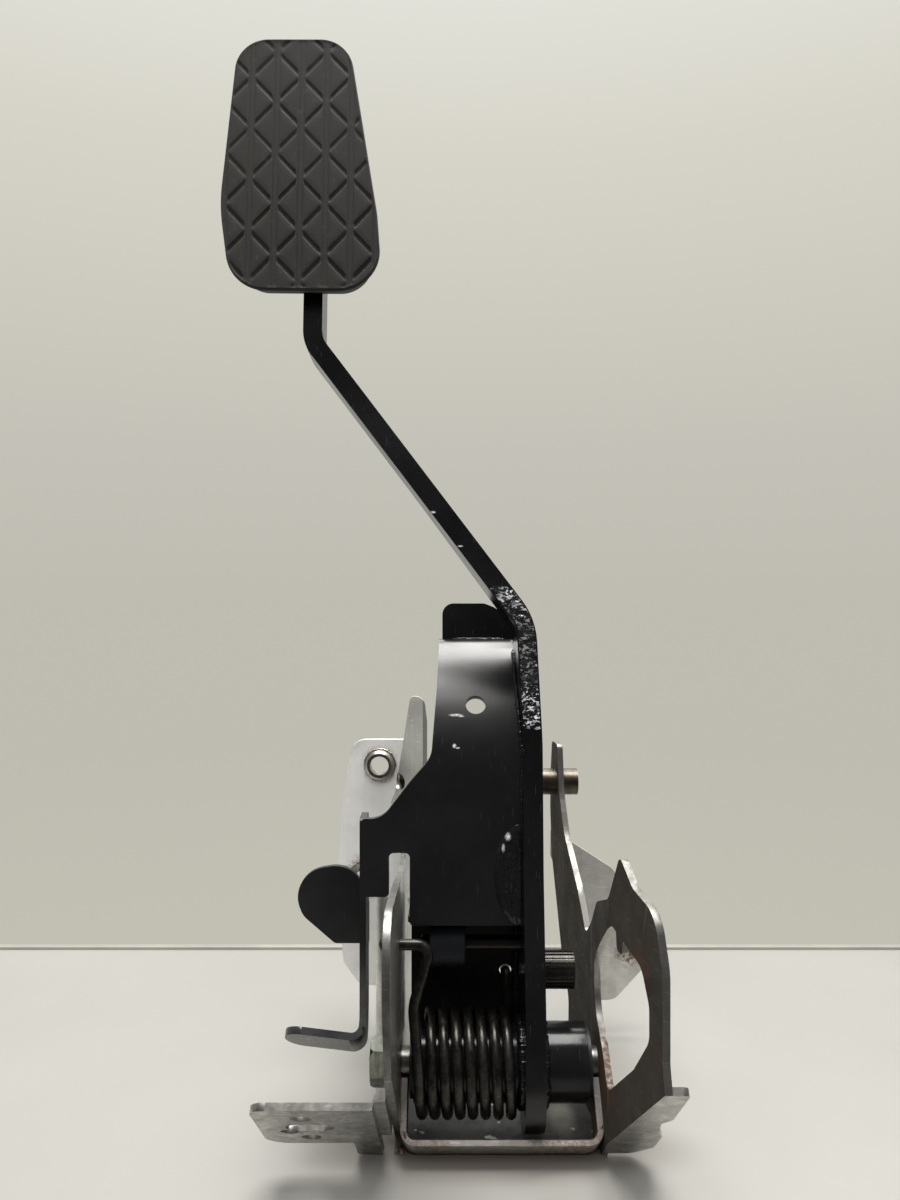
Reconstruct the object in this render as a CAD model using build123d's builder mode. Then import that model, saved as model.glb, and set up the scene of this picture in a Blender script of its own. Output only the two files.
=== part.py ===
from build123d import *
import os
from math import atan2, cos, radians, sin, tan

# Clutch pedal with its mounting bracket, standing on the bracket with the pad up.
# X runs across the pedal, Y runs from the driver's side to the bulkhead, Z is up.
# Side outlines are (distance behind the pivot axis, height above the ground plane).
# Front outlines are (distance across from the bracket datum, height).

os.makedirs("parts", exist_ok=True)

# ---------------------------------------------------------------- driving sizes
DATUM_X = -1.861          # bracket datum (X = 0 of all outlines) in the part's frame
PIVOT_Y = -4.487          # pivot axis in the part's frame
PIVOT_Z = 31.4         # pivot axis above the ground plane
SHEET = 2.6            # pressed steel sheet
BEND_R = 7.0           # outer radius of the flanges' bends
FLANGE_TILT = 42.0     # slope of the two dash flanges
TOE_Y = -12.0          # line on which the sloping flanges reach the ground

LEFT_IN = -19.7        # inner face of the left side wall
RIGHT_IN = 60.4        # inner face of the right side wall beside the pivot
BULKHEAD_Y = 86.0      # front face of the two bulkhead plates

PIN_R = 6.0            # pivot pin
BUSH_BORE_R = 6.05     # running fit on the pivot pin
BUSH_R = 9.5
HUB_R = 15.3           # hub tube
HUB_LEFT, HUB_RIGHT = -14.8, 55.6

ARM_THICK = 8.0        # pedal arm bar
ARM_X = 33.3           # centre of the bar beside the hub
ARM_STRAIGHT_Z = 165.0           # the bar is upright up to here
ARM_DIAG_LOW = (30.9, 213.0)     # lower and upper knees of the bar, front view
ARM_DIAG_HIGH = (-57.7, 330.7)
ARM_LEFT = ARM_X - ARM_THICK / 2
ARM_RIGHT = ARM_X + ARM_THICK / 2

PAD_LEAN = 6.4         # lean of the upper arm and the pad
PAD_CENTRE_Z = 402.9
PAD_PLATE = 2.5
PAD_RUBBER = 8.0
PAD_DRAFT = 20.0       # the rubber narrows towards its back

WIRE_R = 2.15          # torsion spring
COIL_R = 19.0
COIL_PITCH = 5.13
COIL_TURNS = 7.5
COIL_X = -12.1         # where the left leg runs into the coil, at its front
HOOK_YZ = (-22.0, 88.0)
ANCHOR_XZ = (24.3, 59.0)

T = radians(FLANGE_TILT)


# ---------------------------------------------------------------- sketch planes
def side(x):
    """Plane square to the pivot axis."""
    return Plane(origin=(DATUM_X + x, PIVOT_Y, 0), x_dir=(0, 1, 0), z_dir=(1, 0, 0))


def front(y):
    """Plane facing the driver."""
    return Plane(origin=(DATUM_X, PIVOT_Y + y, 0), x_dir=(1, 0, 0), z_dir=(0, -1, 0))


def plan(z):
    """Horizontal plane."""
    return Plane(origin=(DATUM_X, PIVOT_Y, z), x_dir=(1, 0, 0), z_dir=(0, 0, 1))


# Sloping plane of the dash flanges: local y runs down the slope to the toe line.
flange_plane = Plane(
    origin=(DATUM_X, PIVOT_Y + TOE_Y, 0), x_dir=(1, 0, 0), z_dir=(0, sin(T), cos(T))
)


def down_slope(s):
    """Plane square to the slope, s mm up it from the toe line, facing up the slope."""
    return Plane(
        origin=(DATUM_X, PIVOT_Y + TOE_Y - s * cos(T), s * sin(T)),
        x_dir=(1, 0, 0),
        z_dir=(0, -cos(T), sin(T)),
    )


def corner(x, n, way, r):
    """Corner left outside a bend of radius r that turns at (x, n)."""
    Line((x + way * r, n), (x, n))
    Line((x, n), (x, n + r))
    RadiusArc((x, n + r), (x + way * r, n), way * r)


def pts(outline):
    return [(p[0], p[1]) for p in outline]


def rad(outline):
    return [p[2] for p in outline]


def band(path, radii, half):
    """Outline of a bar of width 2*half that follows a path with rounded knees."""
    n = len(path)
    left, right = [], []
    for i, (x, y) in enumerate(path):
        dirs = []
        if i > 0:
            dirs.append((x - path[i - 1][0], y - path[i - 1][1]))
        if i < n - 1:
            dirs.append((path[i + 1][0] - x, path[i + 1][1] - y))
        unit = [(a / (a * a + b * b) ** 0.5, b / (a * a + b * b) ** 0.5) for a, b in dirs]
        if len(unit) == 1:
            nx, ny, turn = -unit[0][1], unit[0][0], 0.0
            k = half
        else:
            nx, ny = -(unit[0][1] + unit[1][1]), unit[0][0] + unit[1][0]
            turn = unit[0][0] * unit[1][1] - unit[0][1] * unit[1][0]
            k = half / (1 + unit[0][0] * unit[1][0] + unit[0][1] * unit[1][1])
        r = radii[i]
        sign = 1 if turn > 0 else -1
        if isinstance(r, tuple):
            rl, rr = r
        else:
            rl = max(r - sign * half, 0.5) if r else 0
            rr = max(r + sign * half, 0.5) if r else 0
        left.append((x + nx * k, y + ny * k, rl))
        right.append((x - nx * k, y - ny * k, rr))
    return left + right[::-1]


# ================================================================ bracket
# ---- left side wall with its sloping dash flange
LEFT_WALL = [
    (TOE_Y, 0, 0),
    (TOE_Y - 71.3 * cos(T), 71.3 * sin(T), 0),
    (-79.5, 92, 30),
    (-76.0, 117.5, 15),
    (-30, 112.5, 0),
    (11, 106.5, 0),
    (41, 106.5, 2),
    (45, 84, 8),
    (70, 70, 10),
    (BULKHEAD_Y, 70, 0),
    (BULKHEAD_Y, 16, 4),
    (72, 0, 4),
]
with BuildPart() as left_wall:
    with BuildSketch(side(LEFT_IN - SHEET)):
        with BuildLine():
            FilletPolyline(*pts(LEFT_WALL), radius=rad(LEFT_WALL), close=True)
        make_face()
    extrude(amount=SHEET)
    LEFT_FLANGE = [
        (-69.4, -71.3, 6),
        (LEFT_IN, -71.3, 0),
        (LEFT_IN, 0, 0),
        (-36.6, -0.6, 3),
        (-36.6, -21.8, 1.5),
        (-69.4, -21.8, 9),
    ]
    with BuildSketch(flange_plane):
        with BuildLine():
            FilletPolyline(*pts(LEFT_FLANGE), radius=rad(LEFT_FLANGE), close=True)
        make_face()
        with Locations((-52.4, -59.5), (-51.6, -31.8)):
            Circle(3.75, mode=Mode.SUBTRACT)
        with Locations((-50.5, -46.6)):
            SlotOverall(18, 8.6, mode=Mode.SUBTRACT)
        with Locations((-58.7, -40.6)):
            Circle(3.4, mode=Mode.SUBTRACT)
    extrude(amount=SHEET)
    with BuildSketch(down_slope(0)):
        with BuildLine():
            corner(LEFT_IN, 0, -1, BEND_R)
        make_face()
    extrude(amount=80, mode=Mode.SUBTRACT)
    with BuildSketch(down_slope(21.8)):
        with BuildLine():
            corner(LEFT_IN - SHEET, SHEET, -1, BEND_R - SHEET)
        make_face()
    extrude(amount=71.3 - 21.8)
    with BuildSketch(side(LEFT_IN - 12)):
        with Locations((0, PIVOT_Z)):
            Circle(PIN_R)
        with Locations(HOOK_YZ):
            Circle(WIRE_R + 0.5)
    extrude(amount=20, mode=Mode.SUBTRACT)
left_wall.part.label = "left_wall"

# ---- right side wall: bent in plan, with a large window and its dash flange
RIGHT_PLAN = [
    (70.0, -80.5, 0),
    (RIGHT_IN, -27.0, 12),
    (RIGHT_IN, 13.0, 20),
    (51.0, BULKHEAD_Y, 0),
    (53.6, BULKHEAD_Y, 0),
    (RIGHT_IN + SHEET, 13.2, 20),
    (RIGHT_IN + SHEET, -26.8, 12),
    (72.6, -80.5, 0),
]
RIGHT_WALL = [
    (TOE_Y, 0, 0),
    (TOE_Y - 91 * cos(T), 91 * sin(T), 0),
    (-77.7, 70, 6),
    (-77.7, 100, 18),
    (-71.0, 117.0, 12),
    (-52.0, 119.4, 10),
    (-39.5, 127.5, 3),
    (-27.5, 107.5, 8),
    (-1, 97.8, 14),
    (21.3, 76.5, 2.5),
    (34, 91, 20),
    (58, 110, 20),
    (68, 128, 20),
    (71.5, 151, 3),
    (82.5, 151, 3),
    (87.0, 124, 10),
    (83.0, 94, 20),
    (63.5, 53, 15),
    (50, 36, 12),
    (52, 0, 4),
]
WINDOW = [
    (-31.5, 98.8, 4),
    (-35.8, 98.1, 0.6),
    (-36.4, 91.8, 2),
    (-41.8, 91.2, 2),
    (-42.6, 97.1, 0.6),
    (-60.0, 94.5, 7),
    (-66.8, 84.0, 7),
    (-66.8, 72.0, 8),
    (-53.0, 55.5, 12),
    (-27.2, 33.5, 5),
    (-14.0, 44.5, 12),
    (3.0, 52.5, 14),
    (6.5, 72.0, 14),
    (-14.0, 87.0, 20),
]
with BuildPart() as right_wall:
    with BuildSketch(plan(0)):
        with BuildLine():
            FilletPolyline(*pts(RIGHT_PLAN), radius=rad(RIGHT_PLAN), close=True)
        make_face()
    extrude(amount=170)
    with BuildSketch(side(40)):
        with BuildLine():
            FilletPolyline(*pts(RIGHT_WALL), radius=rad(RIGHT_WALL), close=True)
        make_face()
        with BuildLine():
            FilletPolyline(*pts(WINDOW), radius=rad(WINDOW), close=True)
        make_face(mode=Mode.SUBTRACT)
    extrude(amount=50, mode=Mode.INTERSECT)
    RIGHT_FLANGE = [
        (61.4, -3.0, 0),
        (61.4, -20.5, 8),
        (71.3, -91.0, 0),
        (78.4, -91.0, 2.5),
        (78.6, -58.0, 3),
        (75.4, -52.5, 2),
        (76.6, -40.0, 2),
        (79.2, -32.0, 3),
        (79.2, -14.0, 5),
        (72.0, -3.0, 5),
    ]
    with BuildSketch(flange_plane):
        with BuildLine():
            FilletPolyline(*pts(RIGHT_FLANGE), radius=rad(RIGHT_FLANGE), close=True)
        make_face()
    extrude(amount=SHEET)
    with BuildSketch(side(40)):
        with Locations((0, PIVOT_Z)):
            Circle(PIN_R)
        with Locations((77, 131.5)):
            Circle(6.4)
    extrude(amount=50, mode=Mode.SUBTRACT)
right_wall.part.label = "right_wall"

# ---- stirrup: U strap across the toe of the bracket, notched for the pivot pin
with BuildPart() as stirrup:
    STIRRUP = [
        (LEFT_IN, 0, 6),
        (RIGHT_IN, 0, 6),
        (RIGHT_IN, 28.4, 0),
        (RIGHT_IN - SHEET, 28.4, 0),
        (RIGHT_IN - SHEET, SHEET, 3.4),
        (LEFT_IN + SHEET, SHEET, 3.4),
        (LEFT_IN + SHEET, 28.4, 0),
        (LEFT_IN, 28.4, 0),
    ]
    with BuildSketch(down_slope(14.9)):
        with BuildLine():
            FilletPolyline(*pts(STIRRUP), radius=rad(STIRRUP), close=True)
        make_face()
    extrude(amount=-14.9)
    with BuildSketch(side(LEFT_IN - 5)):
        with Locations((0, PIVOT_Z)):
            Circle(PIN_R + 1.2)
    extrude(amount=95, mode=Mode.SUBTRACT)
stirrup.part.label = "stirrup"

# ---- base plate between the two side walls
with BuildPart() as base_plate:
    with BuildSketch(plan(0)):
        with BuildLine():
            Polyline(
                (LEFT_IN, -8),
                (RIGHT_IN, -8),
                (RIGHT_IN, 8),
                (59.0, 22),
                (55.5, 50),
                (LEFT_IN, 50),
                close=True,
            )
        make_face()
    extrude(amount=SHEET)
base_plate.part.label = "base_plate"

# ---- bulkhead plates
LEFT_PLATE = [
    (-49.6, 151, 8),
    (LEFT_IN, 151, 2),
    (LEFT_IN, 26, 2),
    (-45.5, 26, 8),
    (-54.4, 38.0, 10),
    (-57.4, 78, 20),
    (-54.2, 122, 20),
]
LEFT_HOLES = [(-35.6, 138.5), (-43.2, 81.5)]
with BuildPart() as left_bulkhead_plate:
    with BuildSketch(front(BULKHEAD_Y)):
        with BuildLine():
            FilletPolyline(*pts(LEFT_PLATE), radius=rad(LEFT_PLATE), close=True)
        make_face()
        with Locations(*LEFT_HOLES):
            Circle(4.7, mode=Mode.SUBTRACT)
    extrude(amount=-SHEET)
left_bulkhead_plate.part.label = "left_bulkhead_plate"

RIGHT_PLATE = [
    (51.2, 106, 1),
    (60.0, 100, 8),
    (82.4, 85.6, 8),
    (97.0, 62, 14),
    (99.4, 36, 8),
    (83.5, 18.5, 8),
    (67.0, 18.5, 8),
    (63.0, 52, 20),
    (56.5, 77, 12),
    (51.2, 92, 1),
]
with BuildPart() as right_bulkhead_plate:
    with BuildSketch(front(BULKHEAD_Y)):
        with BuildLine():
            FilletPolyline(*pts(RIGHT_PLATE), radius=rad(RIGHT_PLATE), close=True)
        make_face()
    extrude(amount=-SHEET)
right_bulkhead_plate.part.label = "right_bulkhead_plate"

# ---- weld nuts on the driver's side of the left bulkhead plate's holes
with BuildPart() as weld_nuts:
    with BuildSketch(front(BULKHEAD_Y)):
        with Locations(*LEFT_HOLES):
            Circle(7.4)
            Circle(4.7, mode=Mode.SUBTRACT)
    extrude(amount=5.0)
    rims = weld_nuts.edges().filter_by(
        lambda e: abs(e.center().Y - (PIVOT_Y + BULKHEAD_Y - 5.0)) < 0.01 and e.length > 40
    )
    chamfer(rims, 1.2)
weld_nuts.part.label = "weld_nuts"

# ---- left horn: leaning tab that carries the cross tube's left end
HORN_A, HORN_B = (-29.0, BULKHEAD_Y), (-11.0, 62.0)
HORN = [
    (-19.4, 175, 3),
    (-12.4, 175, 4),
    (-10.6, 160, 10),
    (-10.6, 118, 2),
    (-31.0, 118, 2),
    (-27.8, 124, 4),
]
with BuildPart() as left_horn:
    with BuildSketch(plan(110)):
        with BuildLine():
            Polyline(
                HORN_A,
                HORN_B,
                (HORN_B[0] - 2.1, HORN_B[1] - 1.5),
                (HORN_A[0] - 3.2, HORN_A[1]),
                close=True,
            )
        make_face()
    extrude(amount=70)
    with BuildSketch(front(BULKHEAD_Y + 5)):
        with BuildLine():
            FilletPolyline(*pts(HORN), radius=rad(HORN), close=True)
        make_face()
    extrude(amount=60, mode=Mode.INTERSECT)
    with BuildSketch(side(-40)):
        with Locations((77, 131.5)):
            Circle(4.2)
    extrude(amount=40, mode=Mode.SUBTRACT)
left_horn.part.label = "left_horn"

# ---- cross tube between the two horns
horn_face = Plane(
    origin=(DATUM_X + HORN_A[0], PIVOT_Y + HORN_A[1], 0),
    x_dir=(0, 0, 1),
    z_dir=(HORN_A[1] - HORN_B[1], HORN_B[0] - HORN_A[0], 0),
)
with BuildPart() as cross_tube:
    with BuildSketch(side(-34)):
        with Locations((77, 131.5)):
            Circle(6.4)
            Circle(4.2, mode=Mode.SUBTRACT)
    extrude(amount=97.2)
    split(bisect_by=horn_face, keep=Keep.TOP)
cross_tube.part.label = "cross_tube"

# ---- left stiffener: angled sheet that boxes in the left side wall
with BuildPart() as left_stiffener:
    STIFFENER = [
        (LEFT_IN - SHEET, 28.0, 0),
        (-33.2, 28.0, 3.6),
        (-33.2, BULKHEAD_Y, 0),
        (-30.6, BULKHEAD_Y, 0),
        (-30.6, 28.0 + SHEET, 1),
        (LEFT_IN - SHEET, 28.0 + SHEET, 0),
    ]
    with BuildSketch(plan(3)):
        with BuildLine():
            FilletPolyline(*pts(STIFFENER), radius=rad(STIFFENER), close=True)
        make_face()
    extrude(amount=87)
    STIFF_SIDE = [
        (27, 3, 0),
        (27, 90, 0),
        (48, 90, 10),
        (66, 68, 12),
        (BULKHEAD_Y, 60, 0),
        (BULKHEAD_Y, 28, 0),
        (60, 3, 12),
    ]
    with BuildSketch(side(-40)):
        with BuildLine():
            FilletPolyline(*pts(STIFF_SIDE), radius=rad(STIFF_SIDE), close=True)
        make_face()
    extrude(amount=30, mode=Mode.INTERSECT)
left_stiffener.part.label = "left_stiffener"

# ---- pivot pin, washer and nut
with BuildPart() as pivot_pin:
    with BuildSketch(side(-33.0)):
        with Locations((0, PIVOT_Z)):
            Circle(PIN_R)
    extrude(amount=33.0 + RIGHT_IN + SHEET)
    ends = pivot_pin.edges().group_by(Axis.X)[0]
    chamfer(ends, 0.8)
pivot_pin.part.label = "pivot_pin"

with BuildPart() as pivot_washer:
    with BuildSketch(side(LEFT_IN - SHEET - 2.0)):
        with Locations((0, PIVOT_Z)):
            Circle(10.5)
            Circle(PIN_R, mode=Mode.SUBTRACT)
    extrude(amount=2.0)
pivot_washer.part.label = "pivot_washer"

with BuildPart() as pivot_nut:
    with BuildSketch(side(LEFT_IN - SHEET - 2.0 - 8.2)):
        with Locations((0, PIVOT_Z)):
            RegularPolygon(8.5, 6, major_radius=False, rotation=12)
    extrude(amount=8.2)
    with BuildSketch(side(LEFT_IN - SHEET - 2.0 - 8.2)):
        with Locations((0, PIVOT_Z)):
            Circle(9.0)
    extrude(amount=8.2, taper=-30, mode=Mode.INTERSECT)
    with BuildSketch(side(LEFT_IN - SHEET - 2.0 - 8.2)):
        with Locations((0, PIVOT_Z)):
            Circle(PIN_R)
    extrude(amount=8.2, mode=Mode.SUBTRACT)
pivot_nut.part.label = "pivot_nut"

# ================================================================ pedal
# ---- arm: flat bar, two knees in the front view, deep beside the hub
LEAN = tan(radians(PAD_LEAN))


def arm_front(z):
    """Front edge of the leaning upper arm."""
    return -7.0 + LEAN * (z - 222.0)


ARM_PATH = [
    (ARM_X, -10),
    (ARM_X, ARM_STRAIGHT_Z),
    ARM_DIAG_LOW,
    ARM_DIAG_HIGH,
    (ARM_DIAG_HIGH[0], 412),
]
ARM_FRONT = band(ARM_PATH, [0, 200, (7, 30), 14, 0], ARM_THICK / 2)
ARM_SIDE = [
    (-26.0, 31.4, 0),
    (-23.5, 62, 40),
    (-14.0, 112, 60),
    (-10.0, 165, 60),
    (arm_front(222), 222, 60),
    (arm_front(408), 408, 3),
    (arm_front(408) + 14.5, 406, 3),
    (arm_front(262) + 15.0, 262, 80),
    (15.0, 222, 50),
    (16.5, 185, 60),
    (18.0, 150, 60),
    (21.0, 90, 60),
    (26.0, 31.4, 0),
]
# Plane of the bent bar: it leans back as the upper arm does.
arm_plane = Plane(
    origin=(DATUM_X, PIVOT_Y + arm_front(222), 222),
    x_dir=(1, 0, 0),
    z_dir=(0, -cos(radians(PAD_LEAN)), sin(radians(PAD_LEAN))),
)
with BuildPart() as pedal_arm:
    with BuildSketch(arm_plane):
        with BuildLine():
            FilletPolyline(
                *[(x, (z - 222) / cos(radians(PAD_LEAN))) for x, z, r in ARM_FRONT],
                radius=rad(ARM_FRONT),
                close=True,
            )
        make_face()
    extrude(amount=90, both=True)
    with BuildSketch(side(-75)):
        with BuildLine():
            FilletPolyline(*pts(ARM_SIDE), radius=rad(ARM_SIDE), close=True)
        make_face()
        with Locations((0, PIVOT_Z)):
            Circle(26.0)
            Circle(HUB_R, mode=Mode.SUBTRACT)
    extrude(amount=125, mode=Mode.INTERSECT)
    with BuildSketch(side(ARM_LEFT - 1)):
        with Locations((8, 66.2)):
            Circle(4.0)
    extrude(amount=ARM_THICK + 2, mode=Mode.SUBTRACT)
pedal_arm.part.label = "pedal_arm"

# ---- hub tube through the arm, with a flanged bush in each end
with BuildPart() as hub_tube:
    with BuildSketch(side(HUB_LEFT)):
        with Locations((0, PIVOT_Z)):
            Circle(HUB_R)
            Circle(BUSH_R, mode=Mode.SUBTRACT)
    extrude(amount=HUB_RIGHT - HUB_LEFT)
hub_tube.part.label = "hub_tube"

with BuildPart() as hub_bushes:
    with BuildSketch(side(HUB_LEFT)):
        with Locations((0, PIVOT_Z)):
            Circle(BUSH_R)
    extrude(amount=18)
    with BuildSketch(side(HUB_LEFT - 1.5)):
        with Locations((0, PIVOT_Z)):
            Circle(13.6)
    extrude(amount=1.5)
    with BuildSketch(side(HUB_RIGHT - 18)):
        with Locations((0, PIVOT_Z)):
            Circle(BUSH_R)
    extrude(amount=18)
    with BuildSketch(side(HUB_RIGHT)):
        with Locations((0, PIVOT_Z)):
            Circle(13.6)
    extrude(amount=1.5)
    with BuildSketch(side(HUB_LEFT - 5)):
        with Locations((0, PIVOT_Z)):
            Circle(BUSH_BORE_R)
    extrude(amount=90, mode=Mode.SUBTRACT)
hub_bushes.part.label = "hub_bushes"

# ---- lever plate: front panel that leans back over its top, with side flanges
PANEL = [
    (-8.7, 60),
    (-8.7, 160),
    (-1.6, 176),
    (9.0, 190),
    (23.7, 203.3),
    (27.0, 203.3),
]
PANEL_SIDE = band(PANEL, [0, 50, 59, 100, 5.3, 0], SHEET / 2)
PANEL_HOLE = (10.6, -0.5, 178.6)
PANEL_HOLE_TILT = 35.0
PANEL_FRONT = [
    (-4.6, 207.0, 0),
    (27.4, 207.0, 0),
    (27.6, 188.0, 0),
    (ARM_LEFT, ARM_STRAIGHT_Z - 3, 0),
    (ARM_LEFT, 91.0, 0),
    (-16.2, 91.0, 1.5),
    (-16.2, 120.2, 2),
    (-24.6, 120.2, 2),
    (-24.6, 102.5, 1.5),
    (-36.4, 102.5, 0),
    (-36.4, 134.0, 2.5),
    (-27.5, 134.0, 9),
    (-16.0, 149.0, 16),
    (-7.6, 158.5, 10),
    (-5.6, 184, 30),
]
EAR_ROOT = (-5.4, 37.3)      # rear foot of the ear's underside, side view
EAR_DEEP = 15.1              # along the slope
EAR_RISE = 9.0               # height of its upright, square to the slope
SKIRT = [
    (-10.0, 134.0, 2),
    (-10.0, 60.0, 12),
    (
        EAR_ROOT[0] + EAR_RISE * sin(T) - EAR_DEEP * cos(T),
        EAR_ROOT[1] + EAR_RISE * cos(T) + EAR_DEEP * sin(T),
        0,
    ),
    (EAR_ROOT[0] + EAR_RISE * sin(T), EAR_ROOT[1] + EAR_RISE * cos(T), 0),
    (3.0, 54.0, 6),
    (3.0, 134.0, 2),
]
with BuildPart() as lever_plate:
    with BuildSketch(side(-36.4)):
        with BuildLine():
            FilletPolyline(*pts(PANEL_SIDE), radius=rad(PANEL_SIDE), close=True)
        make_face()
    extrude(amount=ARM_LEFT + 36.4)
    with BuildSketch(front(0)):
        with BuildLine():
            FilletPolyline(*pts(PANEL_FRONT), radius=rad(PANEL_FRONT), close=True)
        make_face()
    extrude(amount=80, both=True, mode=Mode.INTERSECT)
    hole_plane = Plane(
        origin=(DATUM_X + PANEL_HOLE[0], PIVOT_Y + PANEL_HOLE[1], PANEL_HOLE[2]),
        x_dir=(1, 0, 0),
        z_dir=(0, -cos(radians(PANEL_HOLE_TILT)), sin(radians(PANEL_HOLE_TILT))),
    )
    with BuildSketch(hole_plane):
        Circle(4.15)
    extrude(amount=8, both=True, mode=Mode.SUBTRACT)
    with BuildSketch(side(-36.4)):
        with BuildLine():
            FilletPolyline(*pts(SKIRT), radius=rad(SKIRT), close=True)
        make_face()
    extrude(amount=SHEET)
    with BuildSketch(side(ARM_LEFT - SHEET)):
        with BuildLine():
            Polyline((-8.7, 93.8), (8.0, 93.8), (6.0, 148), (-8.3, 154), close=True)
        make_face()
    extrude(amount=SHEET)
lever_plate.part.label = "lever_plate"

# ---- ear at the foot of the skirt, sloping like the dash flanges
ear_section = Plane(
    origin=(DATUM_X, PIVOT_Y + EAR_ROOT[0], EAR_ROOT[1]),
    x_dir=(1, 0, 0),
    z_dir=(0, -cos(T), sin(T)),
)
ear_face = Plane(
    origin=(DATUM_X, PIVOT_Y + EAR_ROOT[0], EAR_ROOT[1]),
    x_dir=(1, 0, 0),
    z_dir=(0, sin(T), cos(T)),
)
with BuildPart() as stop_ear:
    EAR_SECTION = [
        (-68.0, 3.8, 0),
        (-33.8, 0.0, 5.6),
        (-33.8, EAR_RISE, 0),
        (-36.4, EAR_RISE, 0),
        (-36.4, 3.2, 2.8),
        (-68.0, 6.8, 0),
    ]
    with BuildSketch(ear_section):
        with BuildLine():
            FilletPolyline(*pts(EAR_SECTION), radius=rad(EAR_SECTION), close=True)
        make_face()
    extrude(amount=EAR_DEEP)
    EAR = [(-66.6, 0.0, 7.4), (-66.6, -EAR_DEEP, 7.4), (-30, -EAR_DEEP, 0), (-30, 0, 0)]
    with BuildSketch(ear_face):
        with BuildLine():
            FilletPolyline(*pts(EAR), radius=rad(EAR), close=True)
        make_face()
    extrude(amount=20, mode=Mode.INTERSECT)
stop_ear.part.label = "stop_ear"

# ---- paddle behind the skirt's rear edge
with BuildPart() as switch_paddle:
    with BuildSketch(front(3.0)):
        with BuildLine():
            FilletPolyline(
                (-63.4, 109.0),
                (-39.5, 112.5),
                (-33.8, 95.5),
                (-33.8, 79.0),
                (-48.0, 79.0),
                (-62.5, 91.5),
                radius=[12.5, 12, 0.5, 0.5, 3, 9],
                close=True,
            )
        make_face()
        with Locations((-51.0, 98.2)):
            Circle(12.4)
    extrude(amount=-2.4)
switch_paddle.part.label = "switch_paddle"

# ---- top tab, standing behind the lever plate's top lip
with BuildPart() as top_tab:
    TOP_TAB = [
        (-3.4, 220.5, 5),
        (15.2, 220.5, 4),
        (19.5, 218.8, 6),
        (28.0, 213.0, 4),
        (28.0, 194.0, 3),
        (-3.4, 194.0, 3),
    ]
    with BuildSketch(front(PANEL[-1][0] + SHEET)):
        with BuildLine():
            FilletPolyline(*pts(TOP_TAB), radius=rad(TOP_TAB), close=True)
        make_face()
    extrude(amount=SHEET)
top_tab.part.label = "top_tab"

# ---- lower sheet: shelf under the lever plate and a panel behind the spring
with BuildPart() as lower_sheet:
    SHELF = [
        (-7.2, 91.2, 0),
        (-7.2, 93.8, 0),
        (26.6, 93.8, 4),
        (26.6, 32.0, 0),
        (24.0, 32.0, 0),
        (24.0, 91.2, 1.4),
    ]
    with BuildSketch(side(-17.0)):
        with BuildLine():
            FilletPolyline(*pts(SHELF), radius=rad(SHELF), close=True)
        make_face()
    extrude(amount=17.0 + ARM_LEFT)
    with BuildSketch(front(30)):
        with Locations(ANCHOR_XZ):
            Circle(WIRE_R + 0.5)
    extrude(amount=10, mode=Mode.SUBTRACT)
lower_sheet.part.label = "lower_sheet"

# ---- cross pin and its bush, and the knurled stud on the arm's far side
with BuildPart() as cross_pin:
    with BuildSketch(side(-12.0)):
        with Locations((4.0, 79.0)):
            Circle(3.1)
    extrude(amount=12.0 + ARM_LEFT)
    chamfer(cross_pin.edges().group_by(Axis.X)[0], 0.6)
cross_pin.part.label = "cross_pin"

with BuildPart() as pin_bush:
    with BuildSketch(side(-8.6)):
        with Locations((4.0, 79.0)):
            Circle(9.6)
            Circle(3.1, mode=Mode.SUBTRACT)
    extrude(amount=15.0)
    fillet(pin_bush.edges().filter_by(lambda e: e.length > 50), 1.0)
pin_bush.part.label = "pin_bush"

with BuildPart() as knurled_stud:
    with BuildSketch(side(ARM_LEFT)):
        with Locations((8, 66.2)):
            Circle(4.0)
    extrude(amount=ARM_THICK)
    with BuildSketch(side(ARM_RIGHT)):
        with Locations((8, 66.2)):
            Circle(7.3)
            with PolarLocations(7.3, 24):
                Rectangle(0.9, 0.9)
    extrude(amount=14.6)
knurled_stud.part.label = "knurled_stud"

# ---- pad plate and rubber pad
PN = radians(PAD_LEAN)


def pad_plane(offset):
    """Plane of the pad, offset mm towards the driver from the arm's front edge."""
    return Plane(
        origin=(
            DATUM_X,
            PIVOT_Y + arm_front(PAD_CENTRE_Z) - offset * cos(PN),
            PAD_CENTRE_Z + offset * sin(PN),
        ),
        x_dir=(1, 0, 0),
        z_dir=(0, -cos(PN), sin(PN)),
    )


PAD = [
    (-90.6, 56.9, 15),
    (-42.2, 56.9, 15),
    (-29.4, -22.0, 50),
    (-26.8, -56.2, 18),
    (-91.1, -55.6, 18),
    (-96.528, -18.0, 80),
]
PAD_INNER = [
    (-84.0, 48.0, 9),
    (-48.0, 48.0, 9),
    (-37.0, -22.0, 40),
    (-35.0, -48.0, 10),
    (-86.0, -48.0, 10),
    (-88.5, -18.0, 60),
]
with BuildPart() as pad_plate:
    with BuildSketch(pad_plane(0)):
        with BuildLine():
            FilletPolyline(*pts(PAD_INNER), radius=rad(PAD_INNER), close=True)
        make_face()
    extrude(amount=PAD_PLATE)
pad_plate.part.label = "pad_plate"

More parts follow.
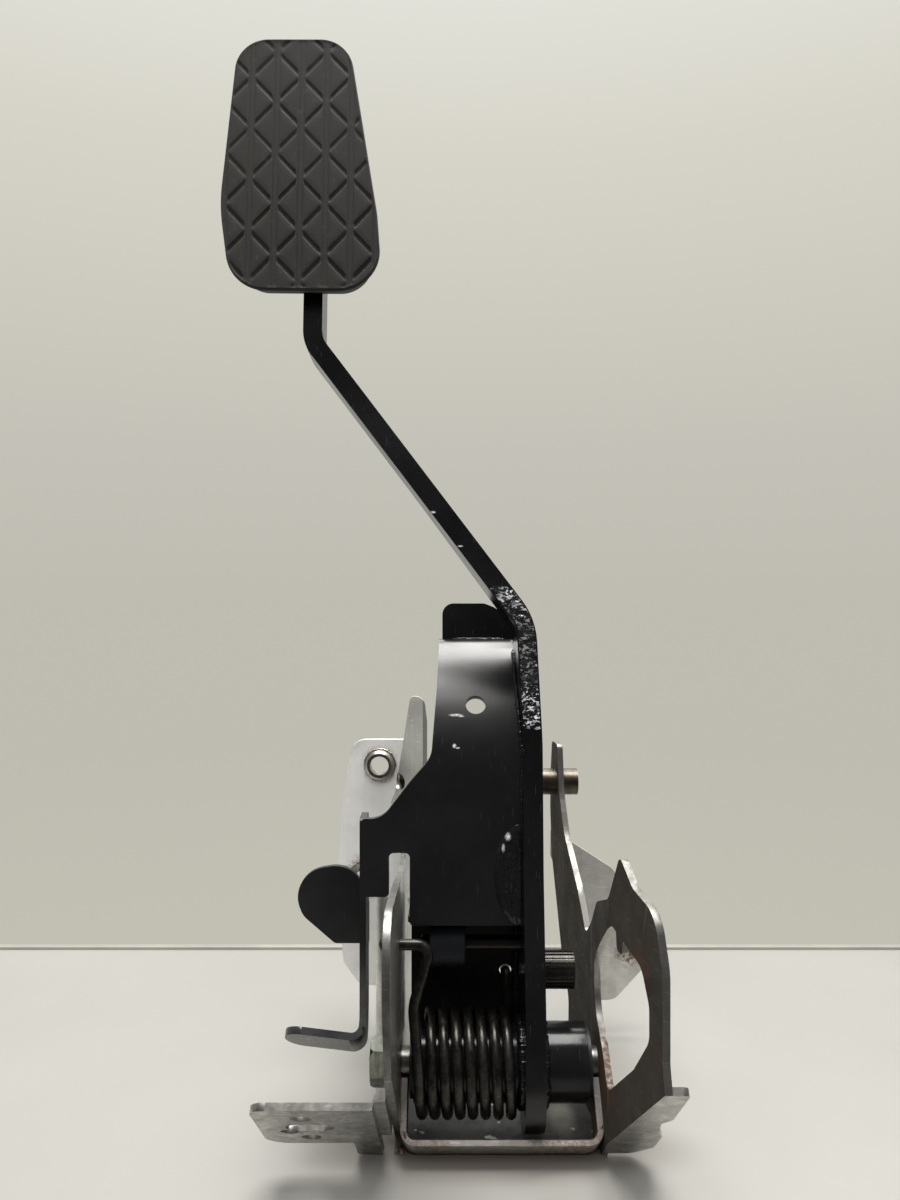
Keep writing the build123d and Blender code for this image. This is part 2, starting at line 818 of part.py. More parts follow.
with BuildPart() as pad_rubber:
    with BuildSketch(pad_plane(PAD_PLATE + PAD_RUBBER)):
        with BuildLine():
            FilletPolyline(*pts(PAD), radius=rad(PAD), close=True)
        make_face()
    extrude(amount=-(PAD_PLATE + PAD_RUBBER + 1.6), taper=PAD_DRAFT)
    face_rim = pad_rubber.faces().sort_by(Axis.Y)[0].edges()
    fillet(face_rim, 1.6)
    with BuildSketch(pad_plane(0)):
        with BuildLine():
            FilletPolyline(*pts(PAD_INNER), radius=rad(PAD_INNER), close=True)
        make_face()
    extrude(amount=PAD_PLATE, mode=Mode.SUBTRACT)
    with BuildSketch(pad_plane(-1.6)):
        with BuildLine():
            FilletPolyline(*pts(PAD_INNER), radius=rad(PAD_INNER), close=True)
        make_face()
        offset(amount=-3.5, mode=Mode.REPLACE)
    extrude(amount=1.6, mode=Mode.SUBTRACT)
    with BuildSketch(pad_plane(-1.6)):
        with Locations((ARM_DIAG_HIGH[0], -50)):
            Rectangle(ARM_THICK + 0.8, 40)
    extrude(amount=1.6, mode=Mode.SUBTRACT)
pad_rubber.part.label = "pad_rubber"

# ---- torsion spring round the hub tube, hooked in the left wall
def spot(x, y, z):
    return Vector(DATUM_X + x, PIVOT_Y + y, z)


coil = Edge.make_helix(
    pitch=COIL_PITCH,
    height=COIL_PITCH * COIL_TURNS,
    radius=COIL_R,
    center=spot(COIL_X, 0, PIVOT_Z),
    normal=(1, 0, 0),
).rotate(Axis(spot(COIL_X, 0, PIVOT_Z), (1, 0, 0)), 90)
COIL_END = COIL_X + COIL_PITCH * COIL_TURNS
LEFT_LEG = [
    coil @ 0,
    coil @ 0 - (coil % 0) * 5,
    spot(-14.4, -20.4, 63),
    spot(-7.2, HOOK_YZ[0], HOOK_YZ[1]),
    spot(-26.2, HOOK_YZ[0], HOOK_YZ[1]),
]
RIGHT_LEG = [
    coil @ 1,
    coil @ 1 + (coil % 1) * 5,
    spot(ANCHOR_XZ[0], COIL_R, ANCHOR_XZ[1]),
    spot(ANCHOR_XZ[0], COIL_R + 9, ANCHOR_XZ[1]),
]
with BuildPart() as torsion_spring:
    with BuildLine():
        add(coil)
    with BuildSketch(Plane(origin=coil @ 0, z_dir=coil % 0)):
        Circle(WIRE_R)
    sweep(is_frenet=True)
    with BuildLine():
        left_leg = FilletPolyline(*LEFT_LEG, radius=[8, 20, 4.4])
    with BuildSketch(Plane(origin=left_leg @ 0, z_dir=left_leg % 0)):
        Circle(WIRE_R)
    sweep(path=left_leg)
    with BuildLine():
        right_leg = FilletPolyline(*RIGHT_LEG, radius=[8, 4.0])
    with BuildSketch(Plane(origin=right_leg @ 0, z_dir=right_leg % 0)):
        Circle(WIRE_R)
    sweep(path=right_leg)
torsion_spring.part.label = "torsion_spring"

# ---------------------------------------------------------------- write the parts
for piece in (
    left_wall,
    right_wall,
    stirrup,
    base_plate,
    left_bulkhead_plate,
    right_bulkhead_plate,
    weld_nuts,
    left_horn,
    cross_tube,
    left_stiffener,
    pivot_pin,
    pivot_washer,
    pivot_nut,
    pedal_arm,
    hub_tube,
    hub_bushes,
    lever_plate,
    stop_ear,
    switch_paddle,
    top_tab,
    lower_sheet,
    cross_pin,
    pin_bush,
    knurled_stud,
    pad_plate,
    pad_rubber,
    torsion_spring,
):
    export_step(piece.part, "parts/" + piece.part.label + ".step")
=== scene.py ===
import math
import random

import bmesh
import bpy
import numpy as np
from mathutils import Matrix, Vector, noise
from mathutils.bvhtree import BVHTree


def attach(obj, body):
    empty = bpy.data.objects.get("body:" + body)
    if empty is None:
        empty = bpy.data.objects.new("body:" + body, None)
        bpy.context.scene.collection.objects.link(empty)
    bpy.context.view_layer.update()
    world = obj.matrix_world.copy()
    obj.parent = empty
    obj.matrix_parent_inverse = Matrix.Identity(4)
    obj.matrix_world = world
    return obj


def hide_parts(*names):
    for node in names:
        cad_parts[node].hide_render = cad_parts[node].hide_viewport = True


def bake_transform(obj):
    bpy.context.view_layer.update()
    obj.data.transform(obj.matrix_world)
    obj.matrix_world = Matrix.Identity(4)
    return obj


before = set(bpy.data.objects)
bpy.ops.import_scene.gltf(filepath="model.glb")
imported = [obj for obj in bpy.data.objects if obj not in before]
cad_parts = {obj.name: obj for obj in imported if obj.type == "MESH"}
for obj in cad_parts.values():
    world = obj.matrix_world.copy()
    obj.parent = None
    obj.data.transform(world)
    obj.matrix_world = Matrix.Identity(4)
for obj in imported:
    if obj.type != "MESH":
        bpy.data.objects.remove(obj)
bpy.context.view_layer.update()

MM = 0.001
DX, PY, PZ = -1.861, -4.487, 31.4      # bracket datum and pivot axis, mm
PN = math.radians(6.4)                 # lean of the pad
SC = bpy.context.scene


def P(x, y, z):
    """Point given from the bracket datum and the pivot axis, in mm."""
    return Vector(((DX + x) * MM, (PY + y) * MM, z * MM))


# ------------------------------------------------------------------ meshes
def mesh_object(name, verts, faces, smooth=True):
    me = bpy.data.meshes.new(name)
    me.from_pydata([tuple(v) for v in verts], [], faces)
    me.validate()
    if smooth:
        me.polygons.foreach_set("use_smooth", [True] * len(me.polygons))
    ob = bpy.data.objects.new(name, me)
    SC.collection.objects.link(ob)
    return ob


def rounded(points, radii, step=0.4):
    """Polyline with tangent arcs at its inner corners, sampled every step mm."""
    pts = [Vector(p) for p in points]
    out = [pts[0]]
    for i in range(1, len(pts) - 1):
        a, b, c = pts[i - 1], pts[i], pts[i + 1]
        u, v = (a - b).normalized(), (c - b).normalized()
        ang = u.angle(v)
        r = radii[i - 1]
        t = min(r / math.tan(ang / 2), (a - b).length * 0.48, (c - b).length * 0.48)
        r = t * math.tan(ang / 2)
        centre = b + (u + v).normalized() * (r / math.sin(ang / 2))
        s, e = b + u * t, b + v * t
        n = max(4, int((math.pi - ang) * r / step))
        sa, se = s - centre, e - centre
        axis, total = sa.cross(se).normalized(), sa.angle(se)
        for k in range(n + 1):
            out.append(centre + Matrix.Rotation(total * k / n, 3, axis) @ sa)
    out.append(pts[-1])
    return out


def resample(points, step):
    d = [0.0]
    for a, b in zip(points, points[1:]):
        d.append(d[-1] + (b - a).length)
    n = max(2, int(d[-1] / step))
    out, j = [], 0
    for k in range(n + 1):
        s = d[-1] * k / n
        while j < len(d) - 2 and d[j + 1] < s:
            j += 1
        f = (s - d[j]) / max(d[j + 1] - d[j], 1e-12)
        out.append(points[j].lerp(points[j + 1], min(max(f, 0), 1)))
    return out


def tube(name, points, radius, sides=20, closed=False, lump=0.0, seed=0, flat=1.0, dome=True):
    """Round wire or bead along points in metres; lump roughens it; radius may be a list."""
    n = len(points)
    rad = radius if isinstance(radius, (list, tuple)) else [radius] * n
    tang = []
    for i in range(n):
        a = points[i - 1] if (closed or i > 0) else points[i]
        b = points[(i + 1) % n] if (closed or i < n - 1) else points[i]
        tang.append((b - a).normalized())
    up = Vector((0, 0, 1)) if abs(tang[0].z) < 0.9 else Vector((0, 1, 0))
    nrm = (up - tang[0] * up.dot(tang[0])).normalized()
    verts, faces = [], []
    rings = []
    for i in range(n):
        nrm = (nrm - tang[i] * nrm.dot(tang[i])).normalized()
        bi = tang[i].cross(nrm)
        ring = []
        for k in range(sides):
            t = 2 * math.pi * k / sides
            r = rad[i]
            if lump:
                q = points[i] * 900 + Vector((seed * 7.1, k * 0.4, 0))
                r *= 1 + lump * noise.noise(q) + 0.5 * lump * noise.noise(q * 2.7)
            ring.append(len(verts))
            verts.append(points[i] + nrm * math.cos(t) * r + bi * math.sin(t) * r * flat)
        rings.append(ring)
    m = n if closed else n - 1
    for i in range(m):
        a, b = rings[i], rings[(i + 1) % n]
        for k in range(sides):
            faces.append((a[k], a[(k + 1) % sides], b[(k + 1) % sides], b[k]))
    if not closed:
        for end, ring, sgn in ((0, rings[0], -1), (n - 1, rings[-1], 1)):
            c = points[end]
            prev = ring
            if dome:
                for q in (0.35, 0.65, 0.88):
                    s = math.sqrt(1 - q * q)
                    new = []
                    for k in range(sides):
                        v = verts[ring[k]] - c
                        new.append(len(verts))
                        verts.append(c + v * s + tang[end] * sgn * rad[end] * q * 0.7)
                    for k in range(sides):
                        f = (prev[k], prev[(k + 1) % sides], new[(k + 1) % sides], new[k])
                        faces.append(f if sgn > 0 else f[::-1])
                    prev = new
            tip = len(verts)
            verts.append(c + tang[end] * sgn * rad[end] * (0.72 if dome else 0.0))
            for k in range(sides):
                f = (prev[k], prev[(k + 1) % sides], tip)
                faces.append(f if sgn > 0 else f[::-1])
    ob = mesh_object(name, verts, faces)
    bm = bmesh.new()
    bm.from_mesh(ob.data)
    bmesh.ops.recalc_face_normals(bm, faces=bm.faces)
    bm.to_mesh(ob.data)
    bm.free()
    return ob


def smoothstep(a, b, x):
    t = min(max((x - a) / (b - a), 0.0), 1.0)
    return t * t * (3 - 2 * t)


# ------------------------------------------------------------------ node helpers
class Mat:
    """Small helper to write a node material in a few lines."""

    def __init__(self, name):
        self.mat = bpy.data.materials.new(name)
        self.mat.use_nodes = True
        self.nt = self.mat.node_tree
        self.bsdf = self.nt.nodes["Principled BSDF"]
        self.co = self.nt.nodes.new("ShaderNodeTexCoord").outputs["Object"]

    def put(self, node, index, value):
        sock = node.inputs[index]
        if isinstance(value, bpy.types.NodeSocket):
            self.nt.links.new(value, sock)
        else:
            sock.default_value = value

    def mapped(self, scale=(1, 1, 1), loc=(0, 0, 0), rot=(0, 0, 0)):
        m = self.nt.nodes.new("ShaderNodeMapping")
        self.put(m, "Vector", self.co)
        m.inputs["Scale"].default_value = scale
        m.inputs["Location"].default_value = loc
        m.inputs["Rotation"].default_value = rot
        return m.outputs[0]

    def noise(self, scale, detail=3, rough=0.55, vec=None, distortion=0.0, color=False):
        n = self.nt.nodes.new("ShaderNodeTexNoise")
        self.put(n, "Vector", vec if vec is not None else self.co)
        n.inputs["Scale"].default_value = scale
        n.inputs["Detail"].default_value = detail
        n.inputs["Roughness"].default_value = rough
        n.inputs["Distortion"].default_value = distortion
        return n.outputs["Color" if color else 0]

    def voronoi(self, scale, vec=None, feature="F1", out="Distance"):
        n = self.nt.nodes.new("ShaderNodeTexVoronoi")
        n.feature = feature
        self.put(n, "Vector", vec if vec is not None else self.co)
        n.inputs["Scale"].default_value = scale
        return n.outputs[out]

    def ramp(self, fac, stops):
        r = self.nt.nodes.new("ShaderNodeValToRGB")
        self.put(r, "Fac", fac)
        el = r.color_ramp.elements
        while len(el) < len(stops):
            el.new(0.5)
        for e, (p, c) in zip(el, stops):
            e.position = p
            e.color = (c, c, c, 1) if isinstance(c, (int, float)) else (*c, 1)
        return r.outputs[0]

    def math(self, op, a, b=0.0, clamp=False):
        m = self.nt.nodes.new("ShaderNodeMath")
        m.operation = op
        m.use_clamp = clamp
        self.put(m, 0, a)
        self.put(m, 1, b)
        return m.outputs[0]

    def mix(self, fac, a, b, mode="MIX"):
        m = self.nt.nodes.new("ShaderNodeMix")
        m.data_type = "RGBA"
        m.blend_type = mode
        m.clamp_factor = True
        self.put(m, 0, fac)
        self.put(m, 6, a if isinstance(a, bpy.types.NodeSocket) else (*a, 1))
        self.put(m, 7, b if isinstance(b, bpy.types.NodeSocket) else (*b, 1))
        return m.outputs[2]

    def remap(self, v, a, b, c, d, smooth=True):
        m = self.nt.nodes.new("ShaderNodeMapRange")
        m.interpolation_type = "SMOOTHSTEP" if smooth else "LINEAR"
        self.put(m, 0, v)
        for i, x in enumerate((a, b, c, d)):
            m.inputs[1 + i].default_value = x
        return m.outputs[0]

    def near(self, point, r0, r1, stretch=(1, 1, 1)):
        """1 within r0 metres of a point, 0 beyond r1; stretch scales the distances."""
        sub = self.nt.nodes.new("ShaderNodeVectorMath")
        sub.operation = "SUBTRACT"
        self.put(sub, 0, self.co)
        sub.inputs[1].default_value = point
        mul = self.nt.nodes.new("ShaderNodeVectorMath")
        mul.operation = "MULTIPLY"
        self.put(mul, 0, sub.outputs[0])
        mul.inputs[1].default_value = stretch
        ln = self.nt.nodes.new("ShaderNodeVectorMath")
        ln.operation = "LENGTH"
        self.put(ln, 0, mul.outputs[0])
        return self.remap(ln.outputs["Value"], r0, r1, 1.0, 0.0)

    def xyz(self):
        s = self.nt.nodes.new("ShaderNodeSeparateXYZ")
        self.put(s, 0, self.co)
        return s.outputs

    def bump(self, *layers, start=None):
        """Layers of (height, strength, distance in metres)."""
        last = start
        for h, s, d in layers:
            b = self.nt.nodes.new("ShaderNodeBump")
            b.inputs["Strength"].default_value = s
            b.inputs["Distance"].default_value = d
            self.put(b, "Height", h)
            if last is not None:
                self.put(b, "Normal", last)
            last = b.outputs[0]
        self.put(self.bsdf, "Normal", last)

    def set(self, **kw):
        for k, v in kw.items():
            self.put(self.bsdf, k.replace("_", " "), (*v, 1) if isinstance(v, tuple) and len(v) == 3 else v)
        return self


# ------------------------------------------------------------------ materials
def zinc(name, tone=(0.60, 0.595, 0.57), dark=(0.42, 0.41, 0.39), rough=(0.28, 0.46), metal=0.95,
         streak=0.35, spangle=0.3, grime_and_shade=(), rust=(), sparkle=0.0, shade=None, pale=(), shaded_top=0.0):
    """Zinc plated pressed sheet: mottled crystals, rolling streaks, handling scratch marks, stains; optional painted
    shade on faces turned one way or upwards, painted glints, painted pale patches, and dark spots that are partly grime
    and partly painted shade.
    """
    m = Mat(name)
    cloud = m.noise(55, 4, 0.6)
    fine = m.noise(420, 3, 0.6)
    cell = m.voronoi(330, out="Color")
    cell_v = m.ramp(cell, [(0.0, 0.0), (1.0, 1.0)])
    streaks = m.noise(1.0, 4, 0.62, vec=m.mapped(scale=(330, 330, 15)))
    col = m.mix(m.ramp(cloud, [(0.32, 0.0), (0.68, 1.0)]), dark, tone)
    col = m.mix(m.math("MULTIPLY", m.ramp(streaks, [(0.35, 1.0), (0.62, 0.0)]), streak), col,
                tuple(c * 0.62 for c in dark))
    lighter = tuple(min(1.0, c * 1.28) for c in tone)
    col = m.mix(m.math("MULTIPLY", cell_v, spangle), col, lighter)
    scratch = m.ramp(m.noise(1.0, 2, 0.4, vec=m.mapped(scale=(160, 160, 1500), rot=(0.35, 0.2, 0.1))),
                     [(0.655, 0.0), (0.68, 1.0)])
    col = m.mix(m.math("MULTIPLY", scratch, 0.45), col, (0.86, 0.86, 0.84))
    # painted glints: tiny near-white dots in the base colour
    if sparkle:
        sp = m.ramp(m.voronoi(1300), [(0.0, 1.0), (0.16, 0.0)])
        sp = m.math("MULTIPLY", sp, m.ramp(m.noise(260, 2), [(0.52, 0.0), (0.62, 1.0)]))
        col = m.mix(m.math("MULTIPLY", sp, sparkle), col, (1.0, 1.0, 0.98))
    r = m.remap(cloud, 0.3, 0.7, rough[1], rough[0])
    r = m.math("ADD", r, m.remap(fine, 0.35, 0.7, -0.05, 0.07), clamp=True)
    # painted shade: faces turned towards the given direction get a dark tint, with less metal, more roughness and a
    # weak specular
    if shade:
        (ax, ay, az), lo, hi, tint = shade
        geo = m.nt.nodes.new("ShaderNodeTexCoord").outputs["Normal"]
        dot = m.nt.nodes.new("ShaderNodeVectorMath")
        dot.operation = "DOT_PRODUCT"
        m.put(dot, 0, geo)
        dot.inputs[1].default_value = (ax, ay, az)
        side = m.remap(dot.outputs["Value"], lo, hi, 0.0, 1.0)
        tinted = m.mix(m.ramp(cloud, [(0.3, 0.0), (0.7, 1.0)]), tuple(c * 0.7 for c in tint), tint)
        tinted = m.mix(m.math("MULTIPLY", scratch, 0.08), tinted, (0.5, 0.5, 0.48))
        col = m.mix(side, col, tinted)
        metal = m.math("MULTIPLY", m.math("SUBTRACT", 1.0, side), metal)
        r = m.math("ADD", r, m.math("MULTIPLY", side, 0.30), clamp=True)
        m.put(m.bsdf, "Specular IOR Level", m.remap(side, 0.0, 1.0, 0.5, 0.04))
    # painted shade: faces turned upwards get a darker base colour and more roughness
    if shaded_top:
        up = m.nt.nodes.new("ShaderNodeSeparateXYZ")
        m.put(up, 0, m.nt.nodes.new("ShaderNodeTexCoord").outputs["Normal"])
        up = m.math("MULTIPLY", m.remap(up.outputs[2], 0.15, 0.45, 0.0, 1.0), shaded_top)
        col = m.mix(up, col, (0.16, 0.155, 0.145))
        r = m.math("ADD", r, m.math("MULTIPLY", up, 0.2), clamp=True)
    # painted light: pale patches mixed into the base colour; on the base plate it stands for the lit table seen behind
    # it
    for point, r0, r1, tint in pale:
        col = m.mix(m.near(point, r0, r1, (1.6, 0.8, 1)), col, tint)
    # dark spots: real grime on the plates and horn; on the walls' inner faces and low corners they are painted shade
    for point, r0, r1, amount in grime_and_shade:
        g = m.math("MULTIPLY", m.near(point, r0, r1), amount)
        g = m.math("MULTIPLY", g, m.remap(m.noise(170, 4, 0.65), 0.3, 0.6, 0.35, 1.0))
        col = m.mix(g, col, (0.045, 0.040, 0.034))
    for point, r0, r1, amount in rust:
        g = m.math("MULTIPLY", m.near(point, r0, r1), amount)
        g = m.math("MULTIPLY", g, m.remap(m.noise(520, 4, 0.7), 0.42, 0.6, 0.0, 1.0))
        col = m.mix(g, col, (0.17, 0.075, 0.032))
        r = m.math("ADD", r, m.math("MULTIPLY", g, 0.4), clamp=True)
    m.set(Base_Color=col, Metallic=metal, Roughness=r)
    m.bump((cloud, 0.12, 0.0006), (fine, 0.16, 0.00012), (m.noise(1500, 2), 0.10, 0.00004))
    return m.mat


def black_paint(name, base=(0.0045, 0.0045, 0.0048), rough=(0.14, 0.26), coat=0.0, peel=0.20, dust=0.25,
                   scratches_and_glints=(), drape=0.0, painted_glints=False, ior=1.5, lean=()):
    """Gloss black paint: orange peel, thin haze, dust and a few handling scratch marks; optional bright marks and
    flecks that are painted glints.
    """
    m = Mat(name)
    peel_n = m.noise(520, 2, 0.45)
    wave = m.noise(60, 2, 0.5)
    haze = m.noise(26, 4, 0.6)
    col = m.mix(m.ramp(haze, [(0.35, 0.0), (0.7, 1.0)]), base, tuple(c * 2.1 for c in base))
    specks = m.ramp(m.voronoi(420), [(0.0, 1.0), (0.085, 0.0)])
    specks = m.math("MULTIPLY", specks, m.ramp(m.noise(90, 3), [(0.53, 0.0), (0.66, 1.0)]))
    col = m.mix(m.math("MULTIPLY", specks, dust), col, (0.30, 0.30, 0.29))
    fine = m.ramp(m.noise(1.0, 2, 0.4, vec=m.mapped(scale=(1500, 260, 120), rot=(0.1, 0.35, 0.5))),
                  [(0.70, 0.0), (0.73, 1.0)])
    col = m.mix(m.math("MULTIPLY", fine, 0.05), col, (0.34, 0.34, 0.34))
    r = m.remap(haze, 0.3, 0.72, rough[0], rough[1])
    r = m.math("ADD", r, m.math("MULTIPLY", specks, 0.3), clamp=True)
    # bright marks: real scratches on the lever and arm; on the weld they are painted glints
    for point, r0, r1, stretch in scratches_and_glints:
        g = m.near(point, r0, r1, stretch)
        g = m.math("MULTIPLY", g, m.remap(m.noise(1400, 2), 0.35, 0.55, 0.35, 1.0))
        col = m.mix(g, col, (0.62, 0.62, 0.60))
        r = m.math("ADD", r, m.math("MULTIPLY", g, 0.5), clamp=True)
    # painted glints: near-white flecks in the base colour on the thick paint's lumps, in two height bands
    if painted_glints:
        vec = m.mapped(scale=(420, 300, 760), rot=(0.0, 0.35, 0.0))
        glint_marks = m.ramp(m.noise(1.0, 3, 0.6, vec=vec, distortion=0.8), [(0.535, 0.0), (0.565, 1.0)])
        where = m.remap(m.noise(150, 2), 0.40, 0.56, 0.10, 1.0)
        zz = m.xyz()[2]
        low = m.remap(zz, 0.182, 0.196, 1.0, 0.42)
        top = m.math("MULTIPLY", m.remap(zz, 0.219, 0.2225, 0.0, 0.6), m.remap(zz, 0.2255, 0.227, 1.0, 0.0))
        where = m.math("MULTIPLY", where, m.math("ADD", low, top, clamp=True))
        col = m.mix(m.math("MULTIPLY", glint_marks, where), col, (0.66, 0.66, 0.68))
    m.set(Base_Color=col, Metallic=0.0, Roughness=r)
    m.bsdf.inputs["IOR"].default_value = ior
    m.bsdf.inputs["Coat Weight"].default_value = coat
    m.bsdf.inputs["Coat Roughness"].default_value = 0.07
    start = None
    if lean:
        z = m.xyz()[2]
        ang = None
        for (za, aa), (zb, ab) in zip(lean, lean[1:]):
            part = m.remap(z, za * MM, zb * MM, 0.0, math.radians(ab - aa), smooth=False)
            ang = part if ang is None else m.math("ADD", ang, part)
        comb = m.nt.nodes.new("ShaderNodeCombineXYZ")
        m.put(comb, 1, m.math("MULTIPLY", m.math("COSINE", ang), -1.0))
        m.put(comb, 2, m.math("SINE", ang))
        geo = m.nt.nodes.new("ShaderNodeTexCoord").outputs["Normal"]
        dot = m.nt.nodes.new("ShaderNodeVectorMath")
        dot.operation = "DOT_PRODUCT"
        m.put(dot, 0, geo)
        m.put(dot, 1, comb.outputs[0])
        face = m.remap(dot.outputs["Value"], 0.93, 0.965, 0.0, 1.0)
        face = m.math("MULTIPLY", face, m.remap(z, 0.2005, 0.2012, 1.0, 0.0))
        face = m.math("MULTIPLY", face, m.remap(z, 0.135, 0.138, 0.0, 1.0))
        both = m.nt.nodes.new("ShaderNodeMix")
        both.data_type = "VECTOR"
        m.put(both, 0, face)
        m.put(both, 4, geo)
        m.put(both, 5, comb.outputs[0])
        start = both.outputs[1]
    m.bump((wave, 0.10, 0.0012 + drape), (peel_n, peel, 0.00018), (specks, 0.2, 0.0001), start=start)
    return m.mat


def turned_steel(name, tone, dark, rough=(0.25, 0.42), axis=0, stain=0.3, metal=1.0, ring=2600):
    """Turned or drawn steel: fine rings round its axis, brown handling stains."""
    m = Mat(name)
    scale = [60, 60, 60]
    scale[axis] = ring
    lines = m.noise(1.0, 2, 0.5, vec=m.mapped(scale=tuple(scale)))
    cloud = m.noise(120, 4, 0.65)
    col = m.mix(m.ramp(cloud, [(0.3, 0.0), (0.7, 1.0)]), dark, tone)
    col = m.mix(m.math("MULTIPLY", m.ramp(m.noise(260, 4, 0.7), [(0.5, 0.0), (0.66, 1.0)]), stain), col,
                (0.11, 0.062, 0.032))
    r = m.remap(lines, 0.3, 0.7, rough[0], rough[1])
    m.set(Base_Color=col, Metallic=metal, Roughness=r)
    m.bump((lines, 0.22, 0.00006), (cloud, 0.1, 0.0002))
    return m.mat


def rubber(name):
    m = Mat(name)
    big = m.noise(38, 4, 0.6)
    grain = m.noise(1500, 3, 0.6)
    pits = m.voronoi(900)
    col = m.mix(m.ramp(big, [(0.32, 0.0), (0.7, 1.0)]), (0.0125, 0.0118, 0.0108), (0.0235, 0.0222, 0.0200))
    dust = m.ramp(m.noise(310, 4, 0.7), [(0.57, 0.0), (0.72, 1.0)])
    col = m.mix(m.math("MULTIPLY", dust, 0.22), col, (0.085, 0.080, 0.072))
    m.set(Base_Color=col, Metallic=0.0, Roughness=m.remap(big, 0.3, 0.7, 0.62, 0.78))
    m.bsdf.inputs["Specular IOR Level"].default_value = 0.35
    m.bsdf.inputs["Sheen Weight"].default_value = 0.06
    m.bsdf.inputs["Sheen Roughness"].default_value = 0.5
    m.bump((grain, 0.35, 0.00009), (pits, 0.15, 0.00006))
    return m.mat


def moulded_plastic(name):
    m = Mat(name)
    grain = m.noise(1100, 3, 0.6)
    cloud = m.noise(120, 3, 0.6)
    col = m.mix(m.ramp(cloud, [(0.35, 0.0), (0.68, 1.0)]), (0.0065, 0.007, 0.0085), (0.012, 0.013, 0.016))
    m.set(Base_Color=col, Metallic=0.0, Roughness=m.remap(cloud, 0.3, 0.7, 0.44, 0.58))
    m.bump((grain, 0.2, 0.00006),)
    return m.mat


def wire_steel(name):
    """Spring wire: dark brown oxide, rubbed brighter in patches, drawing lines."""
    m = Mat(name)
    cloud = m.noise(210, 4, 0.65)
    fine = m.noise(900, 3, 0.6)
    col = m.mix(m.ramp(cloud, [(0.3, 0.0), (0.7, 1.0)]), (0.026, 0.0255, 0.023), (0.084, 0.082, 0.074))
    rubbed = m.ramp(fine, [(0.56, 0.0), (0.7, 1.0)])
    col = m.mix(m.math("MULTIPLY", rubbed, 0.35), col, (0.22, 0.21, 0.185))
    rust = m.ramp(m.noise(640, 4, 0.7), [(0.58, 0.0), (0.68, 1.0)])
    col = m.mix(m.math("MULTIPLY", rust, 0.55), col, (0.13, 0.058, 0.026))
    r = m.math("ADD", m.remap(cloud, 0.3, 0.7, 0.26, 0.40), m.math("MULTIPLY", rust, 0.2), clamp=True)
    m.set(Base_Color=col, Metallic=0.9, Roughness=r)
    m.bump((fine, 0.2, 0.00008), (rust, 0.15, 0.00006))
    return m.mat


def assign(node, mat):
    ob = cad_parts[node]
    ob.data.materials.clear()
    ob.data.materials.append(mat)
    for p in ob.data.polygons:
        p.material_index = 0
    return ob


H1, H2 = P(-35.6, 86, 138.5), P(-43.2, 86, 81.5)
# left wall: the dark spots on its inner face are painted shade in the gap by the spring; shaded_top paints shade on its
# upward faces
mat_left_wall = zinc("zinc_left_wall", shaded_top=0.4, tone=(0.60, 0.59, 0.56), dark=(0.38, 0.37, 0.345), rough=(0.30, 0.46),
                     streak=0.85, grime_and_shade=[(P(-19.7, -10, 20), 0.012, 0.065, 0.70), (P(-19.7, -30, 70), 0.004, 0.030, 0.35)],
                     rust=[(P(-22, 10, 52), 0.004, 0.016, 0.6)])
# right wall: the shade tint on its inner face, shaded_top on its upward faces and the dark spots low by the stirrup and
# at its front foot are painted shade
mat_right_wall = zinc("zinc_right_wall", shaded_top=0.8, tone=(0.58, 0.57, 0.54), dark=(0.42, 0.41, 0.385), rough=(0.28, 0.44),
                      streak=0.3, shade=((-1, 0, 0), 0.30, 0.62, (0.082, 0.073, 0.062)), grime_and_shade=[(P(61, -10, 20), 0.010, 0.050, 0.6), (P(68, -58, 12), 0.006, 0.045, 0.42)],
                      rust=[(P(64, -20, 40), 0.005, 0.022, 0.6), (P(64, -60, 92), 0.003, 0.014, 0.5)])
mat_plate_l = zinc("zinc_left_plate", tone=(0.95, 0.95, 0.92), dark=(0.82, 0.82, 0.79), rough=(0.42, 0.58),
                   metal=0.25, streak=0.12, spangle=0.25, sparkle=0.9,
                   rust=[(H1, 0.0062, 0.0115, 0.55), (H2, 0.0060, 0.0140, 0.75)],
                   grime_and_shade=[(H1, 0.0050, 0.0095, 0.35), (P(-50, 86, 150), 0.001, 0.010, 0.25)])
mat_plate_r = zinc("zinc_right_plate", tone=(0.66, 0.65, 0.62), dark=(0.46, 0.45, 0.43), rough=(0.38, 0.54),
                   metal=0.7, streak=0.15, spangle=0.3, sparkle=0.5,
                   rust=[(P(90, 86, 42), 0.002, 0.009, 0.9)])
mat_horn = zinc("zinc_horn", tone=(0.66, 0.66, 0.63), dark=(0.52, 0.52, 0.50), rough=(0.34, 0.46), streak=0.15,
                spangle=0.12, metal=0.85, grime_and_shade=[(P(-18, 76, 128), 0.004, 0.020, 0.5)])
# stirrup: its faces turned away from the front get a painted shade tint; the front cut edge stays light
mat_stirrup = zinc("zinc_stirrup", tone=(0.52, 0.495, 0.46), dark=(0.34, 0.32, 0.295), rough=(0.30, 0.46),
                   streak=0.3, shade=((0, 1, 0), -0.8, -0.5, (0.060, 0.050, 0.042)), rust=[(P(-15, -24, 8), 0.004, 0.030, 0.5), (P(50, -24, 6), 0.004, 0.03, 0.6)])
